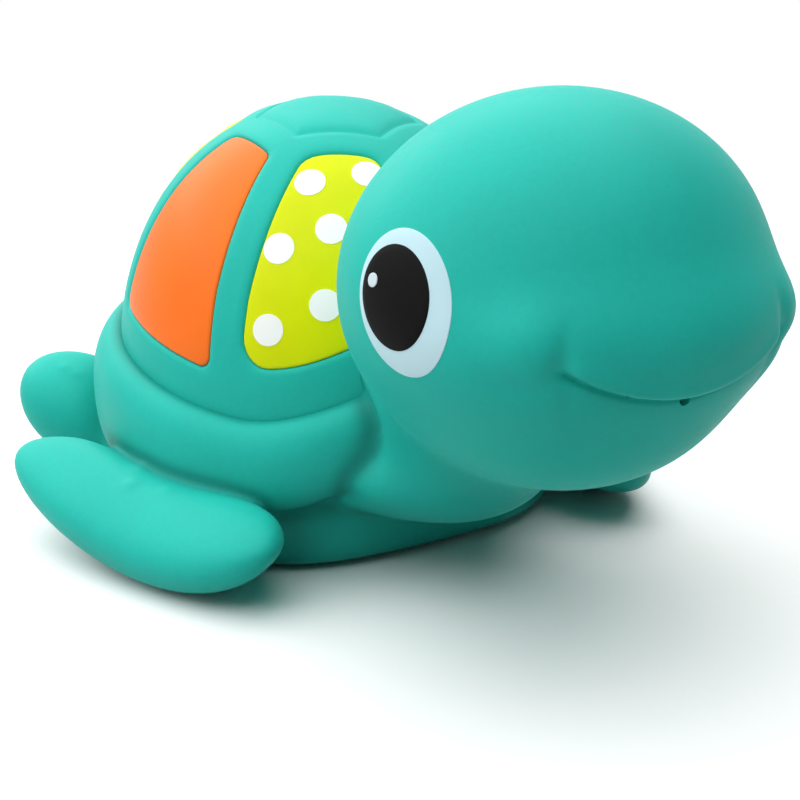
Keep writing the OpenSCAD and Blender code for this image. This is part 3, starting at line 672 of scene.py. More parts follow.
def loops_to_piece(name, loops, material, ends=()):
    """A skin through loops of equal length, closed on two end points or on itself."""
    n, m = len(loops[0]), len(loops)
    faces = strip_faces(n, m, closed=not len(ends))
    if len(ends):
        faces += [face[::-1] for face in cap_faces(n * m, n, 0)]
        faces += cap_faces(n * m + 1, n, (m - 1) * n)
    points = np.concatenate([*loops, np.reshape(ends, (-1, 3))])
    piece = make_piece(name, points, faces, material)
    clean_mesh(piece.data, 0.00001)
    return piece


# The shell

def dome_over(p):
    flat = np.linalg.norm((p[..., :2] - SHELL_MID[:2]) / SHELL_HALF, axis=-1)
    z = SHELL_BASE + SHELL_RISE * np.clip(1 - flat ** DOME_POWER, 0, 1) ** (1 / DOME_POWER)
    return np.concatenate([p[..., :2], z[..., None]], -1)


def dome_out(p):
    flat = (p[..., :2] - SHELL_MID[:2]) / SHELL_HALF
    up = np.maximum(0, (p[..., 2:] - SHELL_BASE) / SHELL_RISE)
    k = np.maximum(np.linalg.norm(flat, axis=-1, keepdims=True), TINY) ** (DOME_POWER - 2)
    return unit(np.concatenate([k * flat / SHELL_HALF, up ** (DOME_POWER - 1) / SHELL_RISE], -1))


def on_dome(p):
    """Brings points near the shell onto it, along lines from its middle."""
    spot = SHELL_MID + (p - SHELL_MID) / dome_scale(p)[1][..., None]
    spot[..., 2] = np.where(p[..., 2] > SHELL_BASE, spot[..., 2], p[..., 2])
    return spot


def dome_at(turn, z):
    k, t = dome_share(z), np.radians(turn)
    rays = np.stack([-np.sin(t), -np.cos(t)], -1)
    a, b = rays / SHELL_HALF, np.array([0, PAD_AHEAD]) / SHELL_HALF
    aa, ab = (a * a).sum(-1), a @ b
    reach = (ab + np.sqrt(np.maximum(ab * ab - aa * (b @ b - k * k), 0))) / aa
    return np.stack([rays[..., 0] * reach, PAD_MID[1] + rays[..., 1] * reach,
                     z * np.ones_like(reach)], -1)


def pad_corner(i):
    a = math.radians(RIBS[i % 6])
    return PAD_MID + np.array([-math.sin(a), -math.cos(a)]) * PAD_D / 2


def panel_top(k, turn, grow):
    a, b = RIBS[k], RIBS[k + 1]
    reach = PAD_D / 2 * math.cos(math.radians(b - a) / 2) + PAD_BAND - grow
    t, r = reach / np.cos(np.radians(turn - (a + b) / 2)), np.radians(turn)
    return dome_over(PAD_MID + np.stack([-np.sin(r) * t, -np.cos(r) * t], -1))[..., 2]


def lean_at(i, z, reach):
    """Degrees by which a leaning rib stands aside of its line at a height."""
    if i not in (1, 5):
        return 0.0
    level = (SHELL_BASE + LEAN_MID * SHELL_RISE - z) / (LEAN_REACH * SHELL_RISE)
    turned = np.degrees(np.arcsin(RIB_LEAN * np.clip(level, -1, 1) / reach))
    return turned if i == 1 else -turned


def panel_level(k, near, down, grow):
    """Height of a panel's point and the panel's own height, near a turn."""
    top = panel_top(k, near, grow)
    high = top - (wave(near, **RIM_TOP) + PANEL_FEET[k] - grow)
    return top - high * down, high


def panel_turn(k, across, down, grow, near):
    z, high = panel_level(k, near, down, grow)
    spot = dome_at(near, z)
    reach = np.hypot(spot[..., 0], spot[..., 1] - PAD_MID[1])
    side = np.degrees(np.arcsin((RIB_W / 2 - grow) / reach))
    radii = PANEL_CORNERS[PANEL_NAMES[k].split("_")[1]]
    if k > 2:
        radii = radii[1], radii[0], radii[3], radii[2]
    inset = []
    for at_top, at_foot in ((radii[0], radii[2]), (radii[1], radii[3])):
        corner = np.where(down < 0.5, at_top, at_foot)
        from_end = np.minimum(corner, high * np.minimum(down * SLOPE_SHARE, 1 - down))
        drawn = corner - np.sqrt(np.maximum(0, corner ** 2 - (corner - from_end) ** 2))
        inset.append(np.degrees(np.arcsin(drawn / reach)))
    start = RIBS[k] + lean_at(k, z, reach) + side + inset[0]
    stop = RIBS[k + 1] + lean_at(k + 1, z, reach) - side - inset[1]
    return start + (stop - start) * across


def panel_point(k, across, down, grow):
    rough = RIBS[k] + (RIBS[k + 1] - RIBS[k]) * (ROUGH_SHARE + (1 - 2 * ROUGH_SHARE) * across)
    near = panel_turn(k, across, down, grow, rough)
    z, _ = panel_level(k, near, down, grow)
    return dome_at(panel_turn(k, across, down, grow, near), z)


def square_loop(n):
    """Across and down shares round a panel, starting at its top corner."""
    s = np.arange(n) / n
    ease, back = (1 - np.cos(np.pi * s)) / 2, (1 - np.cos(np.pi * (1 - s))) / 2
    return (np.concatenate([s, np.ones(n), 1 - s, np.zeros(n)]),
            np.concatenate([np.zeros(n), ease, np.ones(n), back]))


def panel_loop(k, n, grow, share=1.0):
    across, down = square_loop(n)
    return panel_point(k, 0.5 + (across - 0.5) * share, 0.5 + (down - 0.5) * share, grow)


def sector_loop(k, n):
    """The border of a sector: the pad's edge, two ribs and the crease below."""
    across, down = square_loop(n)
    top = dome_over(pad_corner(k) * (1 - across[:, None]) + pad_corner(k + 1) * across[:, None])
    turn = RIBS[k] + (RIBS[k + 1] - RIBS[k]) * across
    foot = wave(turn, **RIM_TOP) - FOOT_DROP
    side = dome_at(turn, top[..., 2] + (foot - top[..., 2]) * down)
    return np.where((down == 0)[:, None], top, side)


def raised(p, height):
    return p + dome_out(p) * height


def shell_faces(n):
    """Points and faces of the shell's outer skin, sector by sector."""
    points, faces = [], []

    def add(loops, tip=None):
        base, size = sum(len(p) for p in points), len(loops[0])
        faces.extend(strip_faces(size, len(loops), base))
        points.extend(loops)
        if tip is not None:
            end = base + len(loops) * size
            faces.extend(cap_faces(end, size, end - size))
            points.append(tip[None])

    for k in range(6):
        outer, edge = sector_loop(k, n), panel_loop(k, n, RIB_RELIEF[-1][0])
        add([*(on_dome(edge * (1 - t) + outer * t) for t in RIB_SHARES),
             *(raised(panel_loop(k, n, grow), height) for grow, height in RIB_RELIEF[::-1]),
             *(raised(panel_loop(k, n, RIB_RELIEF[0][0], share), RECESS)
               for share in RECESS_SHARES)],
            raised(panel_point(k, 0.5, 0.5, 0.0), RECESS))
    ring = np.array([pad_corner(k) + (pad_corner(k + 1) - pad_corner(k)) * i / n
                     for k in range(6) for i in range(n)])
    add([(dome_over(PAD_MID + (ring - PAD_MID) * share) + [0, 0, height])[::-1]
         for share, height in PAD_RELIEF], dome_over(PAD_MID) + [0, 0, PAD_RELIEF[-1][1]])
    # skirt below the crease
    turn = np.concatenate([RIBS[k] + (RIBS[k + 1] - RIBS[k]) * np.arange(n) / n
                           for k in range(6)])
    top = wave(turn, **RIM_TOP) - FOOT_DROP
    add([on_dome(dome_at(turn, top * (1 - t) + SKIRT_FOOT * t)) for t in (0.0, 0.5, 1.0)])
    return np.concatenate(points), faces


def carry_shell(piece):
    """Bakes the piece's placement into its own mesh."""
    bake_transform(piece)


# Materials

def add_node(tree, kind, values=(), **settings):
    """A node with its settings; each value is plain or what another socket gives."""
    node = tree.nodes.new(kind)
    for key, value in settings.items():
        setattr(node, key, value)
    connect(tree, node, values)
    return node


def connect(tree, node, values):
    for key, value in dict(values).items():
        if isinstance(value, bpy.types.NodeSocket):
            tree.links.new(value, node.inputs[key])
        else:
            node.inputs[key].default_value = value


def new_material(name):
    material = bpy.data.materials.new(name)
    material.use_nodes = True
    tree = material.node_tree
    place = add_node(tree, "ShaderNodeTexCoord").outputs["Object"]
    return material, tree, tree.nodes["Principled BSDF"], place


def noise(tree, place, scale, detail=3.0, rough=0.5):
    return add_node(tree, "ShaderNodeTexNoise", {
        "Vector": place, "Scale": scale, "Detail": detail, "Roughness": rough}).outputs["Fac"]


def span(tree, source, low=0.0, high=1.0, from_low=0.3, from_high=0.7):
    return add_node(tree, "ShaderNodeMapRange", {
        "Value": source, "From Min": from_low, "From Max": from_high,
        "To Min": low, "To Max": high}).outputs["Result"]


def mix(tree, share, first, second, blend_type="MIX"):
    """Mixes two colours, each given as three shares or by a socket."""
    ways = {0: share}
    for key, value in ((6, first), (7, second)):
        ways[key] = value if isinstance(value, bpy.types.NodeSocket) else (*value, 1)
    return add_node(tree, "ShaderNodeMix", ways, data_type="RGBA",
                    blend_type=blend_type).outputs[2]


def tint(tree, share, colour, dark, light):
    """A colour between a darker and a lighter share of itself."""
    colour = np.array(colour)
    return mix(tree, share, colour * dark, np.minimum(colour * light, 1))


def relief(tree, height, strength, distance):
    return add_node(tree, "ShaderNodeBump", {
        "Strength": strength, "Distance": distance, "Height": height}).outputs["Normal"]


def vinyl(name, colour):
    """Soft matte vinyl: an even colour with faint random flecks, darkened by painted shade in the
    creases, a broad sheen and a fine moulded grain.
    """
    material, tree, shader, place = new_material(name)
    cloud, speck = noise(tree, place, 55.0, 2.0), noise(tree, place, 900.0, 1.0)
    flecks = mix(tree, span(tree, speck, 0.0, 1.0, 0.35, 0.65), (0.965,) * 3, (1.0,) * 3)
    # painted shade: the crease attribute darkens the vinyl's colour in the creases between forms
    painted_shade_share = add_node(tree, "ShaderNodeAttribute", attribute_name="crease").outputs["Fac"]
    painted_shade_tint = mix(tree, painted_shade_share, (1.0,) * 3, (PAINTED_CREASE_SHADE,) * 3)
    base = mix(tree, 1.0, tint(tree, span(tree, cloud), colour, 0.955, 1.035), flecks,
               "MULTIPLY")
    connect(tree, shader, {
        "Base Color": mix(tree, 1.0, base, painted_shade_tint, "MULTIPLY"),
        "Roughness": span(tree, speck, 0.45, 0.56),
        "Normal": relief(tree, noise(tree, place, 2600.0, 2.0, 0.6), 0.16, 0.00012),
        "Specular IOR Level": 0.12, "Sheen Weight": 0.01, "Sheen Roughness": 0.45})
    return material


def paint(name, colour, rough=0.34, patch=0.04, shine=0.2):
    """Sprayed or printed paint on vinyl: satin, with a little orange peel."""
    material, tree, shader, place = new_material(name)
    cloud = noise(tree, place, 90.0)
    connect(tree, shader, {
        "Base Color": tint(tree, span(tree, cloud), colour, 1 - patch, 1 + patch),
        "Roughness": span(tree, cloud, rough - 0.04, rough + 0.05),
        "Normal": relief(tree, noise(tree, place, 1500.0, 2.0), 0.12, 0.00010),
        "Specular IOR Level": shine})
    return material


def moulded_plastic(name, colour):
    """Natural moulded plastic: fine turning marks and a satin face."""
    material, tree, shader, place = new_material(name)
    cloud = noise(tree, place, 200.0)
    shift = add_node(tree, "ShaderNodeMapping",
                     {"Vector": place, "Location": (0, -SHELL_BACK * MM, 0)})
    rings = add_node(tree, "ShaderNodeTexWave", {
        "Vector": shift.outputs[0], "Scale": 900.0, "Distortion": 0.6},
        wave_type="RINGS", rings_direction="Z")
    connect(tree, shader, {
        "Base Color": tint(tree, span(tree, cloud), colour, 0.93, 1.03),
        "Roughness": span(tree, cloud, 0.42, 0.55),
        "Normal": relief(tree, rings.outputs["Fac"], 0.12, 0.00008)})
    return material


def reed_film(name, colour):
    """Thin sounding film: smooth, with faint lengthwise lines."""
    material, tree, shader, place = new_material(name)
    shift = add_node(tree, "ShaderNodeMapping", {"Vector": place, "Scale": (1, 1, 0.08)})
    lines = noise(tree, shift.outputs[0], 4000.0, 2.0)
    connect(tree, shader, {"Base Color": tint(tree, span(tree, lines), colour, 0.94, 1),
                           "Roughness": span(tree, lines, 0.12, 0.22)})
    return material


def material_for(name, make, *args, **more):
    """The finish of that name, made on its first use."""
    name += "_finish"
    return bpy.data.materials.get(name) or make(name, *args, **more)


# Settings

def length(name, text, value):
    return FloatProperty(name=name, description=text, default=value, min=0.0, max=0.1,
                         subtype="DISTANCE", unit="LENGTH", precision=5)


def colour(name, text, value):
    return FloatVectorProperty(name=name, description=text, default=value, size=3,
                               subtype="COLOR", min=0, max=1)


class BathTurtleSizes(bpy.types.PropertyGroup):
    """Sizes of the details that the CAD model leaves to this script."""
    skin_step: length("Skin mesh step", "Spacing of the points that find the skin", 0.00075)
    lip: length("Lip step", "How far the upper lip stands over the jaw", 0.0013)
    crease: length("Crease depth", "How far a skin draws back beside the rim", 0.0010)
    cheek: length("Cheek height", "Height of the round cheek beside a mouth corner", 0.0009)
    neck_soft: length("Neck softness", "Width of the fillet between head and neck", 0.014)
    belly_soft: length("Chest softness", "Width of the fillet between chest and belly", 0.006)
    rim_soft: length("Rim softness", "Width of the fillet round the rim", 0.0012)
    fin_soft: length("Flipper softness", "Width of the fillet at a flipper's root", 0.005)
    skin_wall: length("Skin thickness", "Thickness of the vinyl skin", 0.002)
    dot_across: length("Dot diameter", "Diameter of a white dot on a panel", 0.0051)
    dot_height: length("Dot height", "Height of the paint of a dot", 0.00008)
    eye_paint: length("Eye paint", "Height of the paint of an eye", 0.0001)


class BathTurtleColours(bpy.types.PropertyGroup):
    """Colours of the vinyl, the paint and the squeaker."""
    teal: colour("Vinyl", "Colour of the skin", (0.0155, 0.474, 0.396))
    lime: colour("Lime", "Colour of the dotted panels", (0.700, 0.770, 0.003))
    orange: colour("Orange", "Colour of the side panels", (0.98, 0.180, 0.019))
    dot_white: colour("Dot white", "Colour of the dots", (0.97, 0.97, 0.95))
    eye_white: colour("Eye white", "Colour round the pupils", (0.55, 0.79, 0.86))
    pupil: colour("Pupil", "Colour of the pupils", (0.003, 0.003, 0.003))
    glint: colour("Glint", "Colour of the glint in a pupil", (0.62, 0.74, 0.78))
    squeaker: colour("Squeaker", "Colour of the squeaker's plastic", (0.80, 0.80, 0.75))
    reed: colour("Reed", "Colour of the reed's film", (0.62, 0.68, 0.70))


def settings_of(context):
    """The sizes in millimetres, and the colours."""
    sizes = context.scene.bath_turtle_sizes
    return ({name: getattr(sizes, name) / MM for name in BathTurtleSizes.__annotations__},
            context.scene.bath_turtle_colours)


def skin_material(tones):
    return material_for("vinyl_skin", vinyl, tones.teal)


def side_points():
    return SIDE_POINTS


# Pieces

class BATHTURTLE_OT_skin(bpy.types.Operator):
    """Find the fixed skin and divide it into head, rim, belly and flippers"""
    bl_idname = "bath_turtle.skin"
    bl_label = "Skin"

    def execute(self, context):
        size, tones = settings_of(context)
        step = size["skin_step"] * 1
        low, high = (np.array(corner) / MM for corner in cad_box)

        def field(p):
            return skin_field(p, size)

        points, faces = find_surface(field, low - 3 * step, high + 3 * step, step)
        points = relax(field, settle(field, points, step, 2), faces, step)
        middle = points[faces].mean(1)
        parts = skin_parts(middle, size)
        owner = np.argmin(np.stack(list(parts.values())), axis=0)
        hole = FLANGE_D / 2 + FLANGE_GAP
        seen = (dome_field(middle) > HIDDEN) | (middle[:, 2] < RIM_UNDER["low"])
        seen &= (middle[:, 2] >= BASE_BAND) | (plan(middle)[1] >= hole)
        slope = unit(slope_of(field, points))
        for i, name in enumerate(parts):
            mine = faces[seen & (owner == i)]
            if not len(mine):
                raise RuntimeError(name + " has no skin")
            p = points.copy()
            if name == "belly_skin":
                border = np.unique(border_of(mine))
                r = plan(p[border])[1]
                near = (r < hole + 2 * step) & (p[border, 2] < BASE_BAND)
                flat = p[border[near], :2] - SHELL_MID[:2]
                p[border[near], :2] = SHELL_MID[:2] + flat * (hole / r[near])[:, None]
            outer, every, sharp = close_wall(p, slope, mine, size["skin_wall"])
            piece = make_piece(name.replace("_skin", "") + "_vinyl", outer, every,
                               skin_material(tones), sharp)
            mesh = piece.data
            mesh.attributes.new("outer", "INT", "FACE").data.foreach_set(
                "value", (np.arange(len(mesh.polygons)) < len(mine)).astype(np.int32))
            if name == "head_skin":
                ray = way(0.0, -SQUIRT_DOWN)
                refine_mouth(piece, field, MOUTH_CUTS,
                             head_surface(ray[None], size)[0], ray)
            shade_by_slope(piece, field)
            # painted shade: how far each point lies in a crease, stored for the vinyl to darken its
            # colour there
            painted_shade_share = painted_crease_shade(read_values(mesh.vertices, "co", 3).astype(float) / MM, size)
            mesh.attributes.new("crease", "FLOAT", "POINT").data.foreach_set(
                "value", painted_shade_share.astype(np.float32))
            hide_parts(name)
            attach(piece, FIXED)
        return {"FINISHED"}


class BATHTURTLE_OT_shell(bpy.types.Operator):
    """Build the domed shell with its ribs, recesses and crown pad"""
    bl_idname = "bath_turtle.shell"
    bl_label = "Shell"

    def execute(self, context):
        size, tones = settings_of(context)
        piece = make_piece("shell_vinyl", *shell_faces(side_points()), skin_material(tones))
        clean_mesh(piece.data, 0.00002)
        wall = piece.modifiers.new("wall", "SOLIDIFY")
        wall.thickness, wall.offset = size["skin_wall"] * MM, -1
        harden(context, piece)
        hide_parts("shell_dome")
        carry_shell(piece)
        return {"FINISHED"}


class BATHTURTLE_OT_panels(bpy.types.Operator):
    """Lay the six coloured panels in the shell's recesses"""
    bl_idname = "bath_turtle.panels"
    bl_label = "Panels"

    def execute(self, context):
        _, tones = settings_of(context)
        n, inner = side_points(), PANEL_EDGE[-1][0]
        rows = [(inner, PANEL_LOW, share) for share in PANEL_SHARES[::-1]]
        rows += [(grow, PANEL_LOW, 1.0) for grow in (inner, PANEL_BACK)]
        rows += [(grow, height, 1.0) for grow, height in PANEL_EDGE]
        rows += [(inner, PANEL_HIGH, share) for share in PANEL_SHARES]
        for k, name in enumerate(PANEL_NAMES):
            loops = [raised(panel_loop(k, n, grow, share), height)
                     for grow, height, share in rows]
            middle = panel_point(k, 0.5, 0.5, inner)
            side = "side" in name
            slot = "orange_paint" if side else "lime_paint"
            piece = loops_to_piece(
                name + "_paint", loops,
                material_for(slot, paint, tones.orange if side else tones.lime, shine=0.1),
                [raised(middle, PANEL_LOW), raised(middle, PANEL_HIGH)])
            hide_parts(name)
            carry_shell(piece)
        return {"FINISHED"}


def dot_tree():
    """Node tree: a low disc on each point, laid on the panels' surface."""
    tree = bpy.data.node_groups.new("dots_on_panels", "GeometryNodeTree")
    for name, in_out, kind in (
            ("Points", "INPUT", "Geometry"), ("Panels", "INPUT", "Object"),
            ("Diameter", "INPUT", "Float"), ("Height", "INPUT", "Float"),
            ("Material", "INPUT", "Material"), ("Dots", "OUTPUT", "Geometry")):
        socket = tree.interface.new_socket(name, in_out=in_out,
                                           socket_type="NodeSocket" + kind)
        if kind == "Float":
            socket.subtype = "DISTANCE"

    def add(kind, values=(), **settings):
        return add_node(tree, kind, values, **settings).outputs

    def attribute(name, kind):
        return add("GeometryNodeInputNamedAttribute", {"Name": name}, data_type=kind)["Attribute"]

    given = add("NodeGroupInput")
    half = add("ShaderNodeMath", {0: given["Diameter"], 1: 0.5}, operation="MULTIPLY")[0]
    disc = add("GeometryNodeMeshCylinder", {
        "Vertices": DOT_SIDES, "Side Segments": 1, "Fill Segments": DOT_RINGS, "Radius": half,
        "Depth": 1.0}, fill_type="TRIANGLE_FAN")["Mesh"]
    place = add("ShaderNodeSeparateXYZ", {0: add("GeometryNodeInputPosition")[0]})
    keep = add("GeometryNodeStoreNamedAttribute", {
        "Name": "level", "Geometry": disc, "Value": place["Z"]},
        data_type="FLOAT", domain="POINT")["Geometry"]
    flat = add("GeometryNodeTransform", {"Geometry": keep, "Scale": (1, 1, 0.0001)})["Geometry"]
    turn = add("FunctionNodeAlignRotationToVector", {
        "Vector": attribute("out", "FLOAT_VECTOR")}, axis="Z")["Rotation"]
    spread = add("GeometryNodeInstanceOnPoints", {
        "Points": given["Points"], "Instance": flat, "Rotation": turn})["Instances"]
    real = add("GeometryNodeRealizeInstances", {"Geometry": spread})["Geometry"]
    panels = add("GeometryNodeObjectInfo", {"Object": given["Panels"]})["Geometry"]
    nearest = add("GeometryNodeProximity", {0: panels}, target_element="FACES")["Position"]
    up = add("ShaderNodeMath", {0: attribute("level", "FLOAT"), 1: given["Height"]},
             operation="MULTIPLY")[0]
    lift = add("ShaderNodeVectorMath", {0: attribute("out", "FLOAT_VECTOR"), "Scale": up},
               operation="SCALE")["Vector"]
    laid = add("GeometryNodeSetPosition", {
        "Geometry": real, "Position": nearest, "Offset": lift})["Geometry"]
    add("NodeGroupOutput", {"Dots": add("GeometryNodeSetMaterial", {
        "Geometry": laid, "Material": given["Material"]})["Geometry"]})
    return tree


class BATHTURTLE_OT_dots(bpy.types.Operator):
    """Print the white dots on the front and rear panels"""
    bl_idname = "bath_turtle.dots"
    bl_label = "Dots"

    def execute(self, context):
        size, tones = settings_of(context)
        points = np.array([panel_point(k, 1 - across if mirrored else across, down, 0.0)
                           for k, mirrored in DOTTED.items() for across, down in DOT_SHARES])
        outs = dome_out(points)
        mesh = bpy.data.meshes.new("panel_dots_paint")
        mesh.from_pydata((points + outs * PANEL_HIGH) * MM, [], [])
        mesh.attributes.new("out", "FLOAT_VECTOR", "POINT").data.foreach_set(
            "vector", outs.astype(np.float32).ravel())
        piece = link_object("panel_dots_paint", mesh)
        across, down = np.meshgrid(*[np.linspace(0, 1, DOT_GRID + 1)] * 2, indexing="ij")
        base = [raised(panel_point(k, across, down, PANEL_BACK), PANEL_HIGH).reshape(-1, 3) * MM
                for k in DOTTED]
        wide = DOT_GRID + 1
        carrier = bpy.data.meshes.new("dot_carrier")
        carrier.from_pydata(np.concatenate(base), [], [
            (a, a + 1, a + wide + 1, a + wide)
            for start in range(0, len(DOTTED) * wide ** 2, wide ** 2)
            for i in range(DOT_GRID) for a in range(start + i * wide, start + (i + 1) * wide - 1)])
        ground = link_object("dot_carrier", carrier)
        nodes = piece.modifiers.new("dots", "NODES")
        nodes.node_group = dot_tree()
        values = {"Panels": ground, "Diameter": size["dot_across"] * MM,
                  "Height": size["dot_height"] * MM * 2,
                  "Material": material_for("dot_paint", paint, tones.dot_white, 0.36, 0.015)}
        for item in nodes.node_group.interface.items_tree:
            if item.in_out == "INPUT" and item.name in values:
                nodes[item.identifier] = values[item.name]
        harden(context, piece)
        bpy.data.objects.remove(ground)
        bpy.data.meshes.remove(carrier)
        if len(piece.data.polygons) < len(points):
            raise RuntimeError("the dots came out empty")
        clean_mesh(piece.data, sharp_over=SHARP)
        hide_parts("panel_dots")
        carry_shell(piece)
        return {"FINISHED"}


def oval_on_head(spec, share, n, side, size):
    """Points and outward ways of an oval drawn on the head."""
    ray = way(spec["turn"], spec["up"])
    across = unit(np.cross(ray, [0, 0, 1.0]))
    rise = np.cross(across, ray)
    reach = np.linalg.norm(head_surface(ray[None], size)[0] - HEAD_MID)
    a, lean = -2 * np.pi * np.arange(n) / n, math.radians(EYE_LEAN)
    u = spec["size"][0] / 2 * share * np.cos(a)
    v = spec["size"][1] / 2 * share * np.sin(a)
    rays = unit(ray * reach + across * (u * math.cos(lean) + v * math.sin(lean))[:, None]
                + rise * (v * math.cos(lean) - u * math.sin(lean))[:, None])
    flip = np.array([side, 1, 1])
    return head_surface(rays, size) * flip, rays * flip


class BATHTURTLE_OT_eyes(bpy.types.Operator):
    """Print the eyes: whites, pupils and glints"""
    bl_idname = "bath_turtle.eyes"
    bl_label = "Eyes"

    def execute(self, context):
        size, tones = settings_of(context)
        layers = (("eye_white", EYE_WHITE, 1, "eye_white_paint", tones.eye_white),
                  ("pupil", PUPIL, 2, "black_paint", tones.pupil),
                  ("eye_glint", GLINT, 3, "glint_paint", tones.glint))
        for side, word in ((1, "right"), (-1, "left")):
            for name, spec, level, slot, tone in layers:
                top = size["eye_paint"] * level
                rows = [(share, EYE_FOOT) for share in (0.2, 0.4, 0.6, 0.8, 1.0)]
                rows += [(1.0, top * 0.4), (0.994, top * 0.85), (0.985, top)]
                rows += [(share, top) for share in PANEL_SHARES]
                loops = []
                for share, height in rows:
                    p, rays = oval_on_head(spec, share, ROUND, side, size)
                    loops.append(p + rays * height)
                p, rays = oval_on_head(spec, 0.0, 1, side, size)
                piece = loops_to_piece(f"{name}_{word}_paint", loops,
                                       material_for(slot, paint, tone, 0.5, 0.02, 0.06),
                                       [p[0] + rays[0] * EYE_FOOT, p[0] + rays[0] * top])
                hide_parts(f"{name}_{word}")
                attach(piece, FIXED)
        return {"FINISHED"}


class BATHTURTLE_OT_socket(bpy.types.Operator):
    """Turn the socket in the base that holds the squeaker"""
    bl_idname = "bath_turtle.socket"
    bl_label = "Socket"

    def execute(self, context):
        _, tones = settings_of(context)
        a = -2 * np.pi * np.arange(ROUND) / ROUND
        loops = [np.stack([r * np.cos(a), SHELL_BACK + r * np.sin(a), z * np.ones(ROUND)], -1)
                 for r, z in SOCKET]
        piece = loops_to_piece("socket_vinyl", loops, skin_material(tones))
        clean_mesh(piece.data, sharp_over=SHARP)
        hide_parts("belly_skin")
        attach(piece, FIXED)
        return {"FINISHED"}


class BATHTURTLE_OT_squeaker(bpy.types.Operator):
    """Finish the squeaker's barrel, seat, wedge and reed"""
    bl_idname = "bath_turtle.squeaker"
    bl_label = "Squeaker"

    def execute(self, context):
        _, tones = settings_of(context)
        plastic = material_for("squeaker_plastic", moulded_plastic, tones.squeaker)
        film = material_for("reed_film", reed_film, tones.reed)
        for name in ("squeaker_barrel", "reed_seat", "reed_wedge", "reed_tongue"):
            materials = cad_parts[name].data.materials
            materials.clear()
            materials.append(film if name == "reed_tongue" else plastic)
        return {"FINISHED"}


# The stage

CAMERA = dict(turn=-32.12, up=18.09, distance=0.272, look=(-0.01336, -0.01825, 0.03228),
              sensor=36, focus=1773.64 / 800)
LAMP_AIM = Vector((0, 0, 0.03))
LAMPS = (("top_light", (-0.12, 0.15, 0.56), 1.5, 15.4),
         ("left_light", (-0.62, -0.10, 0.30), 0.40, 0.28),
         ("front_light", (0.45, -0.75, 0.50), 0.40, 0.12))  # place, size and power
FLOOR_RADIUS, FLOOR_TONE, FLOOR_LIT, FLOOR_FADE = 6.0, (0.54,) * 3, (0.97, 0.98, 0.98), (0.16, 0.42)
WORLD_LIGHT = 0.03
WHITE = {"Color": (1, 1, 1, 1), "Strength": 1.0}


def straight_ray(tree):
    """One for what the camera sees, itself or in a gloss or a clear piece, else nought."""
    path = add_node(tree, "ShaderNodeLightPath").outputs
    clear = add_node(tree, "ShaderNodeMath", {
        0: path["Is Glossy Ray"], 1: path["Is Transmission Ray"]}, operation="MAXIMUM")
    return add_node(tree, "ShaderNodeMath", {
        0: path["Is Camera Ray"], 1: clear.outputs[0]}, operation="MAXIMUM").outputs[0]


def mix_shaders(tree, share, first, second, target):
    node = add_node(tree, "ShaderNodeMixShader", {
        0: share, 1: first.outputs[0], 2: second.outputs[0]})
    tree.links.new(node.outputs[0], tree.nodes[target].inputs["Surface"])


def floor_material():
    material, tree, shader, place = new_material("pale_floor")
    shown = straight_ray(tree)
    connect(tree, shader, {
        "Base Color": mix(tree, shown, FLOOR_TONE, FLOOR_LIT),
        "Roughness": span(tree, noise(tree, place, 4.0, 2.0), 0.55, 0.65),
        "Specular IOR Level": 0.1})
    away = add_node(tree, "ShaderNodeVectorMath", {0: place}, operation="LENGTH")
    far = add_node(tree, "ShaderNodeMath", {
        0: span(tree, away.outputs["Value"], 0.0, 1.0, *FLOOR_FADE), 1: shown},
        operation="MULTIPLY")
    mix_shaders(tree, far.outputs[0], shader, add_node(tree, "ShaderNodeEmission", WHITE),
                "Material Output")
    return material


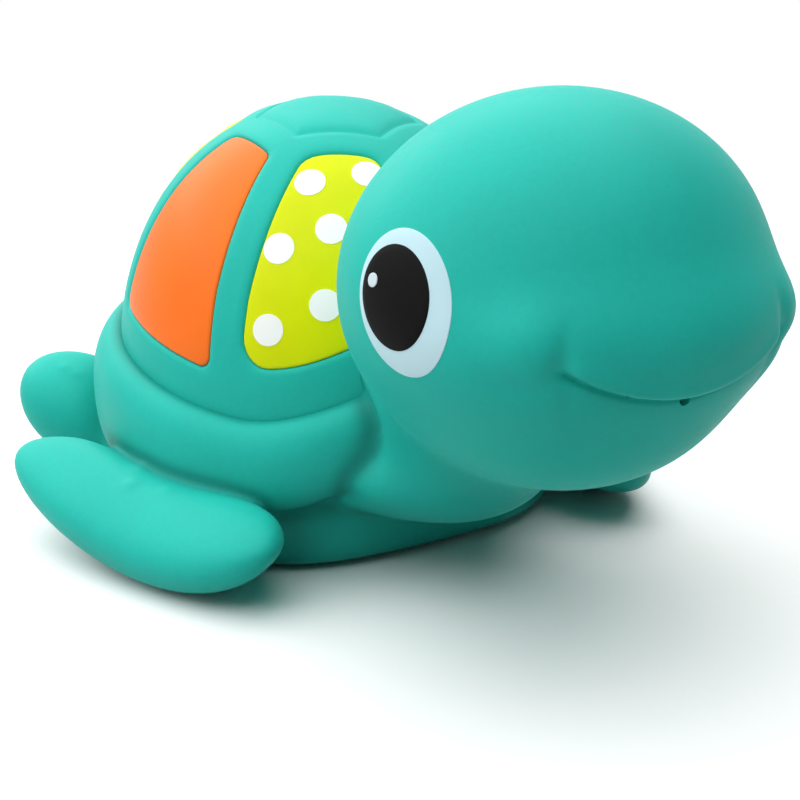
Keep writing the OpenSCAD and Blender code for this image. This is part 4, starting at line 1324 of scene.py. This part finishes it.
class BATHTURTLE_OT_stage(bpy.types.Operator):
    """Set the pale floor, the soft lights and the camera"""
    bl_idname = "bath_turtle.stage"
    bl_label = "Stage"

    def execute(self, context):
        scene = context.scene
        scene.view_settings.view_transform = "Standard"
        mesh = bpy.data.meshes.new("floor")
        a = 2 * np.pi * np.arange(ROUND) / ROUND
        mesh.from_pydata(np.stack([np.cos(a), np.sin(a), 0 * a], -1) * FLOOR_RADIUS, [],
                         [tuple(range(ROUND))])
        mesh.materials.append(floor_material())
        floor = link_object("floor", mesh)

        scene.world = bpy.data.worlds.new("studio")
        scene.world.use_nodes = True
        tree = scene.world.node_tree
        back = tree.nodes["Background"]
        connect(tree, back, {**WHITE, "Strength": WORLD_LIGHT})
        mix_shaders(tree, straight_ray(tree), back, add_node(tree, "ShaderNodeBackground", WHITE),
                    "World Output")

        for name, at, across, power in LAMPS:
            light = bpy.data.lights.new(name, "AREA")
            light.shape, light.size, light.energy = "SQUARE", across, power
            lamp = link_object(name, light)
            lamp.location = at
            lamp.rotation_euler = (LAMP_AIM - Vector(at)).to_track_quat("-Z", "Y").to_euler()

        a, e = math.radians(CAMERA["turn"]), math.radians(CAMERA["up"])
        back = Vector((math.sin(a) * math.cos(e), -math.cos(a) * math.cos(e), math.sin(e)))
        data = bpy.data.cameras.new("camera")
        data.sensor_width, data.lens = CAMERA["sensor"], CAMERA["focus"] * CAMERA["sensor"]
        data.clip_start, data.clip_end = 0.01, 20
        camera = link_object("camera", data)
        camera.location = Vector(CAMERA["look"]) + back * CAMERA["distance"]
        camera.rotation_euler = back.to_track_quat("Z", "Y").to_euler()
        scene.camera = camera
        return {"FINISHED"}


class BATHTURTLE_PT_sidebar(bpy.types.Panel):
    """The operators, in the order in which the toy is built"""
    bl_idname = "BATHTURTLE_PT_sidebar"
    bl_label = "Bath turtle"
    bl_space_type = "VIEW_3D"
    bl_region_type = "UI"
    bl_category = "Bath turtle"

    def draw(self, context):
        for operator in OPERATORS:
            self.layout.operator(operator.bl_idname)
        for group in (context.scene.bath_turtle_sizes, context.scene.bath_turtle_colours):
            box = self.layout.box()
            for name in group.__annotations__:
                box.prop(group, name)


OPERATORS = (BATHTURTLE_OT_stage, BATHTURTLE_OT_skin, BATHTURTLE_OT_shell, BATHTURTLE_OT_panels,
             BATHTURTLE_OT_dots, BATHTURTLE_OT_eyes, BATHTURTLE_OT_socket,
             BATHTURTLE_OT_squeaker)
CLASSES = (BathTurtleSizes, BathTurtleColours, *OPERATORS, BATHTURTLE_PT_sidebar)


def register():
    for cls in CLASSES:
        bpy.utils.register_class(cls)
    bpy.types.Scene.bath_turtle_sizes = PointerProperty(type=BathTurtleSizes)
    bpy.types.Scene.bath_turtle_colours = PointerProperty(type=BathTurtleColours)


def unregister():
    del bpy.types.Scene.bath_turtle_colours
    del bpy.types.Scene.bath_turtle_sizes
    for cls in reversed(CLASSES):
        bpy.utils.unregister_class(cls)


def main():
    register()
    build = bpy.ops.bath_turtle
    for make in (build.stage, build.skin, build.shell, build.panels, build.dots, build.eyes,
                 build.socket, build.squeaker):
        make()


if __name__ == "__main__":
    main()
